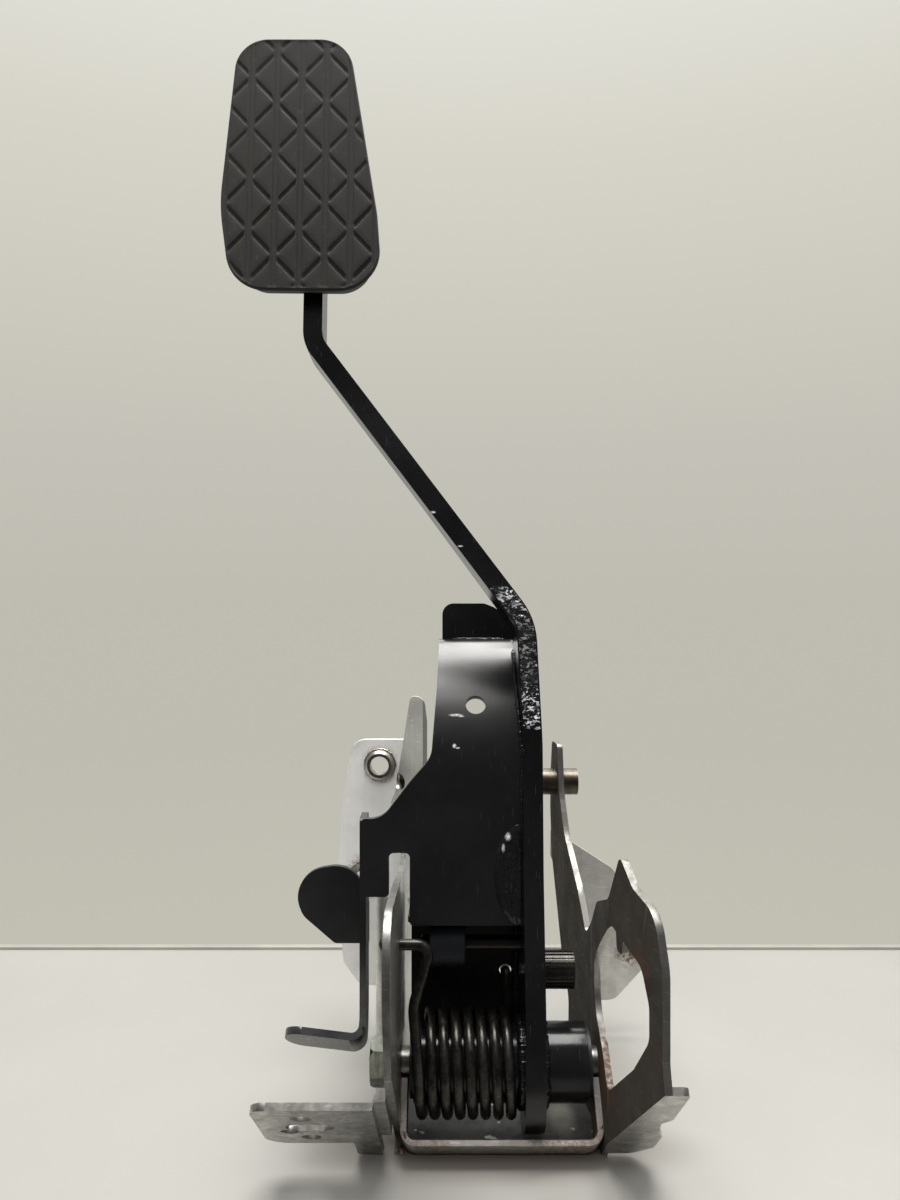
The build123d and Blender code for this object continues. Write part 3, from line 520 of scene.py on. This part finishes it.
# painted shade: the base plate gets a near-black tone for the bracket's shaded interior, with a painted pale patch of
# light at its right
mat_base_shaded = zinc("zinc_base_painted_shade", tone=(0.022, 0.019, 0.016), dark=(0.012, 0.0105, 0.009), rough=(0.46, 0.62), streak=0.2,
                spangle=0.12, metal=0.15, pale=[(P(47, 10, 2.6), 0.0040, 0.0130, (0.15, 0.14, 0.112))])
mat_stiff = zinc("zinc_stiffener", tone=(0.68, 0.675, 0.65), dark=(0.50, 0.49, 0.47), rough=(0.34, 0.5),
                 streak=0.3, metal=0.85)

SCR = [
    (P(2.3, -7.2, 174.9), 0.0003, 0.0011, (0.30, 0.08, 1.6)),
    (P(4.6, -7.0, 174.4), 0.0002, 0.0008, (0.45, 0.08, 1.8)),
    (P(1.8, -9.8, 163.0), 0.0002, 0.0008, (0.8, 0.08, 0.7)),
    (P(3.1, -9.9, 162.2), 0.0001, 0.0006, (0.5, 0.08, 1.2)),
]
mat_lever = black_paint("gloss_black_lever", base=(0.0035, 0.0035, 0.0038), scratches_and_glints=SCR, rough=(0.34, 0.42), coat=0.0,
                        peel=0.16, dust=0.18, ior=1.75,
                        lean=[(149.4, 0.0), (170.2, 23.9), (182.2, 37.1), (183.3, 37.1), (197.3, 47.9), (201.0, 49.0)])
ARM_SCR = [
    (P(4.2, -4, 244.0), 0.0001, 0.0009, (0.6, 0.4, 1.7)),
    (P(-7.0, -3, 258.0), 0.0002, 0.0010, (0.6, 0.4, 1.5)),
]
mat_arm = black_paint("gloss_black_arm", rough=(0.16, 0.26), coat=0.0, peel=0.25, dust=0.2, scratches_and_glints=ARM_SCR)
mat_hub = black_paint("gloss_black_hub", ior=1.38, base=(0.0055, 0.0055, 0.006), rough=(0.16, 0.26), coat=0.0, peel=0.15, dust=0.2)
mat_ear = black_paint("gloss_black_ear", base=(0.011, 0.0115, 0.0115), rough=(0.20, 0.34), coat=0.2, peel=0.3, dust=0.3)
mat_paddle = black_paint("satin_black_paddle", base=(0.008, 0.008, 0.0085), rough=(0.38, 0.5), coat=0.0, peel=0.3, dust=0.2)
mat_tab = black_paint("gloss_black_tab", base=(0.005, 0.005, 0.0055), rough=(0.20, 0.30), coat=0.0, peel=0.2, dust=0.15)
mat_sheet = black_paint("black_lower_sheet", rough=(0.26, 0.4), coat=0.0, peel=0.3, dust=0.3)
mat_pad_plate = black_paint("black_pad_plate", rough=(0.28, 0.42), coat=0.0, peel=0.3, dust=0.2)
# the two bright marks on the weld nugget are painted glints
mat_weld = black_paint("painted_weld", base=(0.005, 0.005, 0.0055), rough=(0.13, 0.22), coat=0.1, peel=0.5, dust=0.3,
                       scratches_and_glints=[(P(23.2, -12, 127), 0.0002, 0.0016, (1.0, 0.2, 0.75)),
                                  (P(21.4, -12, 122.5), 0.0002, 0.0013, (1.5, 0.2, 0.6))])
# the thick paint's white flecks are painted glints
mat_lumps = black_paint("thick_black_paint", base=(0.008, 0.0085, 0.009), rough=(0.10, 0.20), coat=0.5, peel=0.4, dust=0.25,
                        painted_glints=True)

mat_pin = turned_steel("pivot_steel", (0.46, 0.45, 0.42), (0.30, 0.29, 0.27), stain=0.35)
mat_nut = turned_steel("pivot_nut_steel", (0.30, 0.31, 0.27), (0.14, 0.15, 0.13), rough=(0.3, 0.46), stain=0.3)
mat_tube = turned_steel("cross_tube_steel", (0.17, 0.152, 0.125), (0.085, 0.075, 0.062), rough=(0.3, 0.48), stain=0.55)
mat_cross = turned_steel("cross_pin_steel", (0.10, 0.095, 0.092), (0.06, 0.057, 0.055), rough=(0.34, 0.46), stain=0.3)
mat_stud = turned_steel("stud_black_steel", (0.060, 0.057, 0.052), (0.026, 0.025, 0.023), rough=(0.26, 0.40),
                        stain=0.25, metal=0.85)
mat_weld_nut = turned_steel("weld_nut_steel", (0.62, 0.60, 0.56), (0.36, 0.33, 0.30), axis=1, rough=(0.3, 0.48), stain=0.5)
mat_bush = moulded_plastic("bush_plastic")
mat_wire = wire_steel("spring_wire")
mat_rubber = rubber("pad_rubber")

st = Mat.__new__(Mat)
st.mat, st.nt = mat_stirrup, mat_stirrup.node_tree
st.bsdf = st.nt.nodes["Principled BSDF"]
st.co = st.nt.nodes.new("ShaderNodeTexCoord").outputs["Object"]
low = st.remap(st.xyz()[2], 0.0016, 0.0021, 1.0, 0.0)
old = st.bsdf.inputs["Base Color"].links[0].from_socket
st.set(Base_Color=st.mix(low, old, st.mix(st.ramp(st.noise(240, 3), [(0.3, 0.0), (0.7, 1.0)]), (0.045, 0.022, 0.014), (0.12, 0.055, 0.035))))

for node, mat in {
    "left_wall": mat_left_wall, "right_wall": mat_right_wall, "stirrup": mat_stirrup, "base_plate": mat_base_shaded,
    "left_bulkhead_plate": mat_plate_l, "right_bulkhead_plate": mat_plate_r, "weld_nuts": mat_weld_nut,
    "left_horn": mat_horn, "cross_tube": mat_tube, "left_stiffener": mat_stiff, "pivot_pin": mat_pin,
    "pivot_washer": mat_pin, "pivot_nut": mat_nut, "torsion_spring": mat_wire, "pedal_arm": mat_arm,
    "hub_tube": mat_hub, "hub_bushes": mat_bush, "lever_plate": mat_lever, "stop_ear": mat_ear,
    "switch_paddle": mat_paddle, "top_tab": mat_tab, "lower_sheet": mat_sheet, "cross_pin": mat_cross,
    "pin_bush": mat_bush, "knurled_stud": mat_stud, "pad_plate": mat_pad_plate, "pad_rubber": mat_rubber,
}.items():
    assign(node, mat)


# Small rounded edges on the sheet and bar parts, as pressing and plating leave them.
def soften(node, width, angle=38.0, segments=2):
    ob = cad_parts[node]
    w = ob.modifiers.new("weld", "WELD")
    w.merge_threshold = 1e-6
    b = ob.modifiers.new("edge", "BEVEL")
    b.width = width
    b.segments = segments
    b.limit_method = "ANGLE"
    b.angle_limit = math.radians(angle)
    b.use_clamp_overlap = True
    b.harden_normals = False
    b.miter_outer = "MITER_ARC"
    return ob


for node, width in {
    "left_wall": 0.00035, "right_wall": 0.00035, "stirrup": 0.00035, "left_bulkhead_plate": 0.00035,
    "right_bulkhead_plate": 0.00035, "left_horn": 0.00035, "left_stiffener": 0.00035, "lever_plate": 0.00035,
    "stop_ear": 0.0004, "switch_paddle": 0.0004, "top_tab": 0.0004, "lower_sheet": 0.00035, "pedal_arm": 0.0006,
    "base_plate": 0.0003, "pad_plate": 0.0003,
}.items():
    soften(node, width)


# ------------------------------------------------------------------ rubber pad with its tread
PC_Y = -7.0 + 0.11217 * (402.9 - 222.0)
PAD_OUT = [(-90.6, 56.9, 15), (-42.2, 56.9, 15), (-29.4, -22.0, 50), (-26.8, -56.2, 18), (-91.1, -55.6, 18),
           (-96.528, -18.0, 80)]


def outline(corners, count):
    """Closed rounded outline, evenly sampled, as (u, v) in mm."""
    n = len(corners)
    pts = []
    for i in range(n):
        a = Vector(corners[i - 1][:2])
        b = Vector(corners[i][:2])
        c = Vector(corners[(i + 1) % n][:2])
        r = corners[i][2]
        u, v = (a - b).normalized(), (c - b).normalized()
        ang = u.angle(v)
        t = r / math.tan(ang / 2)
        m = (u + v).normalized()
        centre = b + m * (r / math.sin(ang / 2))
        s, e = b + u * t - centre, b + v * t - centre
        a0, a1 = math.atan2(s.y, s.x), math.atan2(e.y, e.x)
        d = (a1 - a0 + math.pi) % (2 * math.pi) - math.pi
        k = max(6, int(abs(d) * r / 0.4))
        for j in range(k + 1):
            q = a0 + d * j / k
            pts.append(Vector((centre.x + r * math.cos(q), centre.y + r * math.sin(q))))
    loop = pts + [pts[0]]
    d = [0.0]
    for a, b in zip(loop, loop[1:]):
        d.append(d[-1] + (b - a).length)
    out, j = [], 0
    for k in range(count):
        s = d[-1] * k / count
        while d[j + 1] < s:
            j += 1
        f = (s - d[j]) / max(d[j + 1] - d[j], 1e-9)
        out.append(loop[j].lerp(loop[j + 1], f))
    return out


def pad_point(u, v, off):
    """Point of the pad in metres: u across, v up the pad, off towards the driver from the arm."""
    y = PC_Y - off * math.cos(PN) + v * math.sin(PN)
    z = 402.9 + off * math.sin(PN) + v * math.cos(PN)
    return P(u, y, z)


TREAD_U, TREAD_V = 10.52, 11.30


def tread(u, v):
    """Height of the tread above the groove bottoms, mm."""
    a, b = (u + 62.4) / TREAD_U, (v + 29.2) / TREAD_V
    dv = abs(a - round(a)) * TREAD_U
    s, t = a + b, a - b
    k = TREAD_U * TREAD_V / math.hypot(TREAD_U, TREAD_V)
    d = min(abs(s - 2 * round(s / 2)), abs(t - 2 * round(t / 2))) * k
    groove = (1.0 - smoothstep(0.30, 1.15, d)) * smoothstep(1.2, 2.3, dv)
    line = 1.0 - smoothstep(0.12, 0.50, abs(dv - 1.05))
    pillow = 0.12 * smoothstep(0.9, 3.2, d) * smoothstep(1.2, 3.0, dv)
    worn = 1.0 - 0.45 * smoothstep(-26.0, 8.0, v)
    return (-0.80 * groove - 0.30 * line + pillow) * worn - 0.12


def build_pad():
    n = 640
    rim = outline(PAD_OUT, n)
    cu = sum(p.x for p in rim) / n
    cv = sum(p.y for p in rim) / n
    centre = Vector((cu, cv))
    face_off = 10.5
    verts, rings = [], []
    # side: from the back edge up to the rounded front rim
    depth = 12.1
    prof = []                                # (inset from the front outline, offset)
    taper = math.tan(math.radians(20.0))
    for k in range(9):
        h = depth * (1 - k / 8 * (1 - 1.7 / depth))
        prof.append((h * taper + 0.14 + 0.20 * math.sin(k / 8 * math.pi), face_off - h))
    for k in range(1, 9):
        q = k / 8 * math.pi / 2
        prof.append((0.76 + 0.6 * (1 - math.cos(q)), face_off - 0.02 - 1.7 * (1 - math.sin(q))))
    nrm = []
    for i in range(n):
        t = (rim[(i + 1) % n] - rim[i - 1]).normalized()
        nv = Vector((-t.y, t.x))
        if nv.dot(centre - rim[i]) < 0:
            nv = -nv
        nrm.append(nv)
    for inset, off in prof:
        ring = []
        for i in range(n):
            p = rim[i] + nrm[i] * inset
            ring.append(len(verts))
            verts.append(pad_point(p.x, p.y, off))
        rings.append(ring)
    inner = [rim[i] + nrm[i] * prof[-1][0] for i in range(n)]
    steps = 118
    for s in range(1, steps):
        f = 1 - s / steps
        f = f ** 1.0
        ring = []
        for i in range(n):
            p = centre + (inner[i] - centre) * f
            edge = (rim[i] - p).length
            h = tread(p.x, p.y) * smoothstep(1.2, 2.6, edge)
            crown = 0.0
            ring.append(len(verts))
            verts.append(pad_point(p.x, p.y, face_off - 0.02 + h + crown))
        rings.append(ring)
    faces = []
    for a, b in zip(rings, rings[1:]):
        for i in range(n):
            j = (i + 1) % n
            faces.append((a[i], a[j], b[j], b[i]))
    tip = len(verts)
    verts.append(pad_point(cu, cv, face_off + tread(cu, cv)))
    for i in range(n):
        faces.append((rings[-1][i], rings[-1][(i + 1) % n], tip))
    # back: a lip round the steel plate, then a shallow recess
    back = rings[0]
    lips = []
    for inset, off in ((4.9, face_off - depth), (6.0, face_off - depth + 0.1), (6.6, face_off - depth + 0.5),
                       (6.9, -0.4), (7.6, -0.06)):
        ring = []
        for i in range(n):
            p = rim[i] + nrm[i] * (inset + (2.0 if inset > 4.9 else 0.9))
            ring.append(len(verts))
            verts.append(pad_point(p.x, p.y, off))
        lips.append(ring)
    prev = back
    for ring in lips:
        for i in range(n):
            j = (i + 1) % n
            faces.append((prev[j], prev[i], ring[i], ring[j]))
        prev = ring
    tip = len(verts)
    verts.append(pad_point(cu, cv, -0.06))
    for i in range(n):
        faces.append((prev[(i + 1) % n], prev[i], tip))
    ob = mesh_object("pad_tread", verts, faces)
    bm = bmesh.new()
    bm.from_mesh(ob.data)
    bmesh.ops.recalc_face_normals(bm, faces=bm.faces)
    bm.to_mesh(ob.data)
    bm.free()
    ob.data.materials.append(mat_rubber)
    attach(ob, "pedal")
    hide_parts("pad_rubber")
    return ob


build_pad()


# ------------------------------------------------------------------ torsion spring
def helix_point(t):
    return Vector((-12.1 + 5.13 * t / (2 * math.pi), -19.0 * math.cos(t), PZ - 19.0 * math.sin(t)))


T_END = 15 * math.pi
coil = [helix_point(T_END * k / 900) for k in range(901)]
t0 = (coil[1] - coil[0]).normalized()
t1 = (coil[-1] - coil[-2]).normalized()
left_leg = rounded([coil[0], coil[0] - t0 * 5, (-14.4, -20.4, 63), (-7.2, -22.0, 88.0), (-26.2, -22.0, 88.0)],
                   [8, 20, 4.4])
right_leg = rounded([coil[-1], coil[-1] + t1 * 5, (24.3, 19.0, 59.0), (24.3, 28.0, 59.0)], [8, 4.0])
wire_mm = left_leg[::-1][:-1] + coil + right_leg[1:]
wire_pts = resample([P(*p) for p in wire_mm], 0.00055)
spring = tube("torsion_spring_wire", wire_pts, 2.15 * MM, sides=26)
spring.data.materials.append(mat_wire)
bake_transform(spring)
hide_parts("torsion_spring")

# ------------------------------------------------------------------ surfaces to lay details on
trees = {}


def tree_of(node):
    if node not in trees:
        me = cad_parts[node].data
        trees[node] = BVHTree.FromPolygons([v.co.copy() for v in me.vertices],
                                           [tuple(p.vertices) for p in me.polygons])
    return trees[node]


def hit(node, x, z, from_y=-120.0):
    """Front surface of a node behind a point of the front view: (place, normal) or None."""
    loc, nor, idx, dist = tree_of(node).ray_cast(P(x, from_y, z), Vector((0, 1, 0)), 0.4)
    return (loc, nor) if loc is not None else None


# ---- thick lumpy paint on the arm's front, round the lower knee
def arm_edges(z):
    left = right = None
    x = -66.0
    step = 0.25
    # walk in from the left until the ray meets the arm's front face, then across it to its right edge
    for k in range(int(110 / step)):
        h = hit("pedal_arm", x + k * step, z)
        if h and h[1].y < -0.9:
            left = x + k * step
            break
    if left is None:
        return None
    k = 0
    while True:
        h = hit("pedal_arm", left + k * step, z)
        if not h or h[1].y > -0.9:
            right = left + (k - 1) * step
            break
        k += 1
    return left, right


def build_lumps():
    rows = []
    z0, z1, dz = 169.5, 229.0, 0.3
    cols = 44
    for r in range(int((z1 - z0) / dz) + 1):
        z = z0 + r * dz
        e = arm_edges(z)
        if e is None:
            continue
        rows.append((z, e[0] + 0.35, e[1] - 0.35))
    verts, faces, idx = [], [], []
    for z, a, b in rows:
        row = []
        fade_z = smoothstep(169.5, 171.5, z) * (1 - smoothstep(222.0, 229.0, z))
        thin = 1.0 - 0.45 * smoothstep(196, 203, z) * (1 - smoothstep(212, 217, z))
        for c in range(cols):
            f = c / (cols - 1)
            x = a + (b - a) * f
            h = hit("pedal_arm", x, z)
            y = h[0].y if h else verts[-1].y
            q = Vector((x * 0.30, z * 0.46, 3.1))
            warp = noise.noise(q * 0.6 + Vector((0, 0, 5)))
            n1 = noise.noise(q + Vector((warp * 1.4, warp * 0.8, 0)))
            n2 = noise.noise(q * 2.1 + Vector((7, warp, 0)))
            lump = max(0.0, 0.5 + 0.95 * n1 + 0.42 * n2)
            edge = math.sin(math.pi * f) ** 0.5 if 0 < f < 1 else 0.0
            hgt = (0.08 + 0.95 * lump * thin) * edge * fade_z
            row.append(len(verts))
            verts.append(Vector(((DX + x) * MM, y - (hgt - 0.06) * MM, z * MM)))
        idx.append(row)
    for ra, rb in zip(idx, idx[1:]):
        for c in range(cols - 1):
            faces.append((ra[c], ra[c + 1], rb[c + 1], rb[c]))
    # a closed skin: the back of the patch lies inside the bar
    base = len(verts)
    for row in idx:
        for v in row:
            p = verts[v]
            verts.append(Vector((p.x, p.y + 1.2 * MM, p.z)))
    nv = base
    for ra, rb in zip(idx, idx[1:]):
        for c in range(cols - 1):
            faces.append((ra[c] + nv, rb[c] + nv, rb[c + 1] + nv, ra[c + 1] + nv))
        faces.append((ra[0], rb[0], rb[0] + nv, ra[0] + nv))
        faces.append((ra[-1], ra[-1] + nv, rb[-1] + nv, rb[-1]))
    for row in (idx[0], idx[-1]):
        for c in range(cols - 1):
            faces.append((row[c], row[c] + nv, row[c + 1] + nv, row[c + 1]))
    ob = mesh_object("arm_thick_paint", verts, faces)
    bm = bmesh.new()
    bm.from_mesh(ob.data)
    bmesh.ops.recalc_face_normals(bm, faces=bm.faces)
    bm.to_mesh(ob.data)
    bm.free()
    sub = ob.modifiers.new("smooth", "SUBSURF")
    sub.levels = sub.render_levels = 1
    ob.data.materials.append(mat_lumps)
    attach(ob, "pedal")
    return ob


build_lumps()


# ---- weld beads
def bead(name, pts_mm, r, body, lump=0.45, seed=1, mat=None, closed=False, flat=1.0):
    pts = resample([P(*p) for p in pts_mm], 0.0004)
    n = len(pts)
    rad = []
    for i in range(n):
        scale = 1 + 0.22 * math.sin(i * 0.0004 / 0.0011 * 2 * math.pi) + 0.25 * noise.noise(Vector((i * 0.05, seed * 3.3, 0)))
        end = 1.0 if closed else min(1.0, 0.35 + min(i, n - 1 - i) / 8)
        rad.append(r * MM * scale * end)
    if closed:
        pts, rad = pts[:-1], rad[:-1]
    ob = tube(name, pts, rad, sides=14, lump=lump, seed=seed, closed=closed, flat=flat)
    ob.data.materials.append(mat or mat_weld)
    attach(ob, body)
    return ob


def lever_edge(z):
    """Right edge of the lever plate's front face at height z: (x, y) in mm, or None."""
    x = 30.5
    while x > 15:
        h = hit("lever_plate", x, z)
        if h and h[1].y < -0.3:
            return x, h[0].y / MM - PY
        x -= 0.25
    return None


seam = []
for k in range(100):
    z = 95.5 + k * 1.06
    e = lever_edge(z)
    if e:
        seam.append((e[0] - 0.1, e[1] + 0.15, z))
bead("lever_arm_weld", seam, 0.85, "pedal", seed=2)

ring = []
for side_x, nm, r0 in ((29.0, "hub_weld_left", 1.7), (37.7, "hub_weld_right", 1.8)):
    ring = [(side_x, -15.7 * math.cos(a), PZ + 15.7 * math.sin(a)) for a in
            [2 * math.pi * k / 220 for k in range(221)]]
    bead(nm, ring, r0, "pedal", seed=5, closed=True)
bead("panel_arm_weld", [(28.7, 19.0, 36 + k) for k in range(57)], 1.3, "pedal", seed=7)
bead("tab_weld", [(1.0 + k, 26.5, 204.5) for k in range(24)], 0.9, "pedal", seed=8)
bead("skirt_ear_weld", [(-34.6 - 0.0 * k, -14.5 + 0.9 * k, 52.4 - 0.82 * k) for k in range(10)], 0.55, "pedal", seed=9)
bead("horn_weld", [(-20.6, 83.6, 119 + k) for k in range(30)], 1.0, "bracket", seed=11, mat=mat_horn)
bead("stirrup_weld_left", [(-19.0, -19.0 + 0.5 * k, 6.2 - 0.4 * k) for k in range(10)], 1.0, "bracket", seed=12,
     mat=mat_stirrup)
for tag, (hx, hz) in (("upper", (-35.6, 138.5)), ("lower", (-43.2, 81.5))):
    ring = [(hx + 7.5 * math.cos(a), 85.7, hz + 7.5 * math.sin(a)) for a in [2 * math.pi * k / 120 for k in range(121)]]
    bead("nut_weld_" + tag, ring, 0.7, "bracket", seed=14, mat=mat_weld_nut, closed=True)


# ---- the big weld where the plate meets the arm
def build_nugget():
    cx, cz, ax, az, h = 28.4, 111.5, 10.6, 20.5, 2.3
    nu, nv = 40, 60
    verts, faces, idx = [], [], []
    for j in range(nv + 1):
        s = -1 + 2 * j / nv
        row = []
        half = math.sqrt(max(0.0, 1 - s * s)) * (1 + 0.16 * noise.noise(Vector((s * 3.1, 2.0, 0.5))))
        for i in range(nu + 1):
            f = i / nu
            x = cx - ax * half * (1 - f)
            z = cz + az * s
            d = math.hypot((x - cx) / ax, s)
            dome = max(0.0, 1 - d ** 3.2) ** 0.6
            w = 0.42 * noise.noise(Vector((x * 0.33, z * 0.20, 1.0))) + 0.22 * noise.noise(Vector((x * 0.9, z * 0.55, 4.0)))
            w += 0.10 * noise.noise(Vector((x * 2.1, z * 1.7, 6.0)))
            ridge = 0.45 * math.exp(-((d - 0.86) / 0.07) ** 2)
            y = -10.0 - h * dome * (0.75 + w) - ridge * dome
            row.append(len(verts))
            verts.append(P(x, y + 0.08, z))
        idx.append(row)
    base = len(verts)
    for row in idx:
        for v in row:
            p = verts[v]
            verts.append(Vector((p.x, (PY - 8.6) * MM, p.z)))
    for ra, rb in zip(idx, idx[1:]):
        for c in range(nu):
            faces.append((ra[c], ra[c + 1], rb[c + 1], rb[c]))
            faces.append((ra[c] + base, rb[c] + base, rb[c + 1] + base, ra[c + 1] + base))
        faces.append((ra[0], rb[0], rb[0] + base, ra[0] + base))
        faces.append((ra[-1], ra[-1] + base, rb[-1] + base, rb[-1]))
    ob = mesh_object("lever_weld_nugget", verts, faces)
    bm = bmesh.new()
    bm.from_mesh(ob.data)
    bmesh.ops.remove_doubles(bm, verts=bm.verts, dist=1e-7)
    bmesh.ops.recalc_face_normals(bm, faces=bm.faces)
    bm.to_mesh(ob.data)
    bm.free()
    ob.data.materials.append(mat_weld)
    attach(ob, "pedal")
    return ob


build_nugget()

# ------------------------------------------------------------------ stage
FAR = 0.1945
floor_mat = Mat("table_white")
fn = floor_mat.noise(9, 4, 0.6)
tabletop = floor_mat.mix(floor_mat.ramp(fn, [(0.3, 0.0), (0.7, 1.0)]), (0.296, 0.290, 0.271), (0.313, 0.307, 0.287))
# painted shadow: a dark patch on the floor in front of the stirrup
painted_contact_shadow = floor_mat.near(P(20, -8, 0), 0.010, 0.034, (0.36, 1.25, 1))
tabletop = floor_mat.mix(floor_mat.math("MULTIPLY", painted_contact_shadow, 0.72), tabletop, (0.070, 0.050, 0.040))
# painted shade: the floor turns near black towards the front, a dim room for the black paint to reflect
front = floor_mat.remap(floor_mat.xyz()[1], -0.125, -0.043, 0.0, 1.0)
floor_mat.set(Base_Color=floor_mat.mix(front, (0.017, 0.0167, 0.016), tabletop),
              Roughness=floor_mat.remap(fn, 0.3, 0.7, 0.62, 0.74))
floor_mat.bsdf.inputs["Specular IOR Level"].default_value = 0.25
floor_mat.bump((floor_mat.noise(700, 2), 0.03, 0.0001))
nx, ny = 40, 30
fv, ff = [], []
for j in range(ny + 1):
    for i in range(nx + 1):
        fv.append((-1.6 + 3.2 * i / nx, -1.5 + (FAR + 1.5) * j / ny, 0.0))
for j in range(ny):
    for i in range(nx):
        a = j * (nx + 1) + i
        ff.append((a, a + 1, a + nx + 2, a + nx + 1))
floor = mesh_object("floor", fv, ff, smooth=False)
floor.data.materials.append(floor_mat.mat)

edge_mat = Mat("table_edge")
edge_mat.set(Base_Color=edge_mat.mix(edge_mat.ramp(edge_mat.noise(14, 3), [(0.3, 0.0), (0.7, 1.0)]),
                                     (0.24, 0.235, 0.21), (0.34, 0.33, 0.30)), Roughness=0.6)
ev = [(-1.6, FAR, -0.004), (1.6, FAR, -0.004), (1.6, FAR, 0.0016), (-1.6, FAR, 0.0016),
      (-1.6, FAR + 0.006, -0.004), (1.6, FAR + 0.006, -0.004), (1.6, FAR + 0.006, 0.0012), (-1.6, FAR + 0.006, 0.0012)]
ef = [(0, 1, 2, 3), (4, 7, 6, 5), (3, 2, 6, 7), (0, 4, 5, 1), (0, 3, 7, 4), (1, 5, 6, 2)]
edge = mesh_object("floor_edge", ev, ef, smooth=False)
edge.data.materials.append(edge_mat.mat)

# ------------------------------------------------------------------ light
world = bpy.data.worlds.new("studio")
SC.world = world
world.use_nodes = True
wt = world.node_tree
for n in list(wt.nodes):
    wt.nodes.remove(n)
out = wt.nodes.new("ShaderNodeOutputWorld")
tc = wt.nodes.new("ShaderNodeTexCoord")
sep = wt.nodes.new("ShaderNodeSeparateXYZ")
wt.links.new(tc.outputs["Generated"], sep.inputs[0])


def wramp(sock, stops, lo=-1.0, hi=1.0):
    mr = wt.nodes.new("ShaderNodeMapRange")
    wt.links.new(sock, mr.inputs[0])
    mr.inputs[1].default_value, mr.inputs[2].default_value = lo, hi
    r = wt.nodes.new("ShaderNodeValToRGB")
    wt.links.new(mr.outputs[0], r.inputs[0])
    el = r.color_ramp.elements
    while len(el) < len(stops):
        el.new(0.5)
    for e, (p, c) in zip(el, stops):
        e.position = (p - lo) / (hi - lo)
        e.color = (*c, 1)
    return r.outputs[0]


# what the camera sees behind the object: a pale wall, lighter towards its top
seen = wramp(sep.outputs["Z"], [(-1.0, (0.55, 0.54, 0.47)), (-0.33, (0.540, 0.527, 0.450)), (-0.16, (0.516, 0.504, 0.438)),
                                (0.0, (0.518, 0.506, 0.443)), (0.164, (0.552, 0.540, 0.480)), (0.316, (0.612, 0.600, 0.525)),
                                (0.447, (0.675, 0.661, 0.582)), (0.56, (0.765, 0.757, 0.698)), (1.0, (0.80, 0.79, 0.73))])
# what lights the object: bright wall behind, dim room in front
lit = wramp(sep.outputs["Y"], [(-1.0, (0.050, 0.050, 0.050)), (-0.35, (0.11, 0.11, 0.108)), (0.15, (0.42, 0.42, 0.40)),
                               (0.6, (0.60, 0.605, 0.56)), (1.0, (0.56, 0.565, 0.52))])
lp = wt.nodes.new("ShaderNodeLightPath")
bg1 = wt.nodes.new("ShaderNodeBackground")
bg2 = wt.nodes.new("ShaderNodeBackground")
wt.links.new(lit, bg1.inputs[0])
wt.links.new(seen, bg2.inputs[0])
mx = wt.nodes.new("ShaderNodeMixShader")
wt.links.new(lp.outputs["Is Camera Ray"], mx.inputs[0])
wt.links.new(bg1.outputs[0], mx.inputs[1])
wt.links.new(bg2.outputs[0], mx.inputs[2])
wt.links.new(mx.outputs[0], out.inputs[0])


def area(name, loc, look, sx, sy, watts, color=(1, 1, 1)):
    li = bpy.data.lights.new(name, "AREA")
    li.shape = "RECTANGLE"
    li.size, li.size_y = sx, sy
    li.energy = watts
    li.color = color
    ob = bpy.data.objects.new(name, li)
    SC.collection.objects.link(ob)
    ob.location = loc
    d = Vector(look) - Vector(loc)
    ob.rotation_euler = d.to_track_quat("-Z", "Y").to_euler()
    return ob


area("overhead", (0.0, 0.02, 1.50), (0.0, 0.02, 0.0), 0.95, 0.80, 34.0, (1.0, 0.985, 0.955))
area("rear_top", (0.0, 0.95, 1.20), (0.0, 0.0, 0.1), 0.8, 0.5, 7.0, (0.97, 0.99, 1.0))
fill = area("front_fill", (0.0, -0.95, 0.95), (0.0, 0.0, 0.1), 1.6, 0.9, 17.0, (1.0, 0.99, 0.97))
fill.visible_glossy = False

# ------------------------------------------------------------------ camera
cam_data = bpy.data.cameras.new("camera")
cam_data.lens = 27.0
cam_data.sensor_width = 36.0
cam_data.clip_start = 0.01
cam = bpy.data.objects.new("camera", cam_data)
SC.collection.objects.link(cam)
cam.location = (-0.001861, -0.376487, 0.222)
cam.rotation_euler = (math.radians(90), 0, 0)
SC.camera = cam
SC.view_settings.view_transform = "Standard"
SC.view_settings.look = "None"
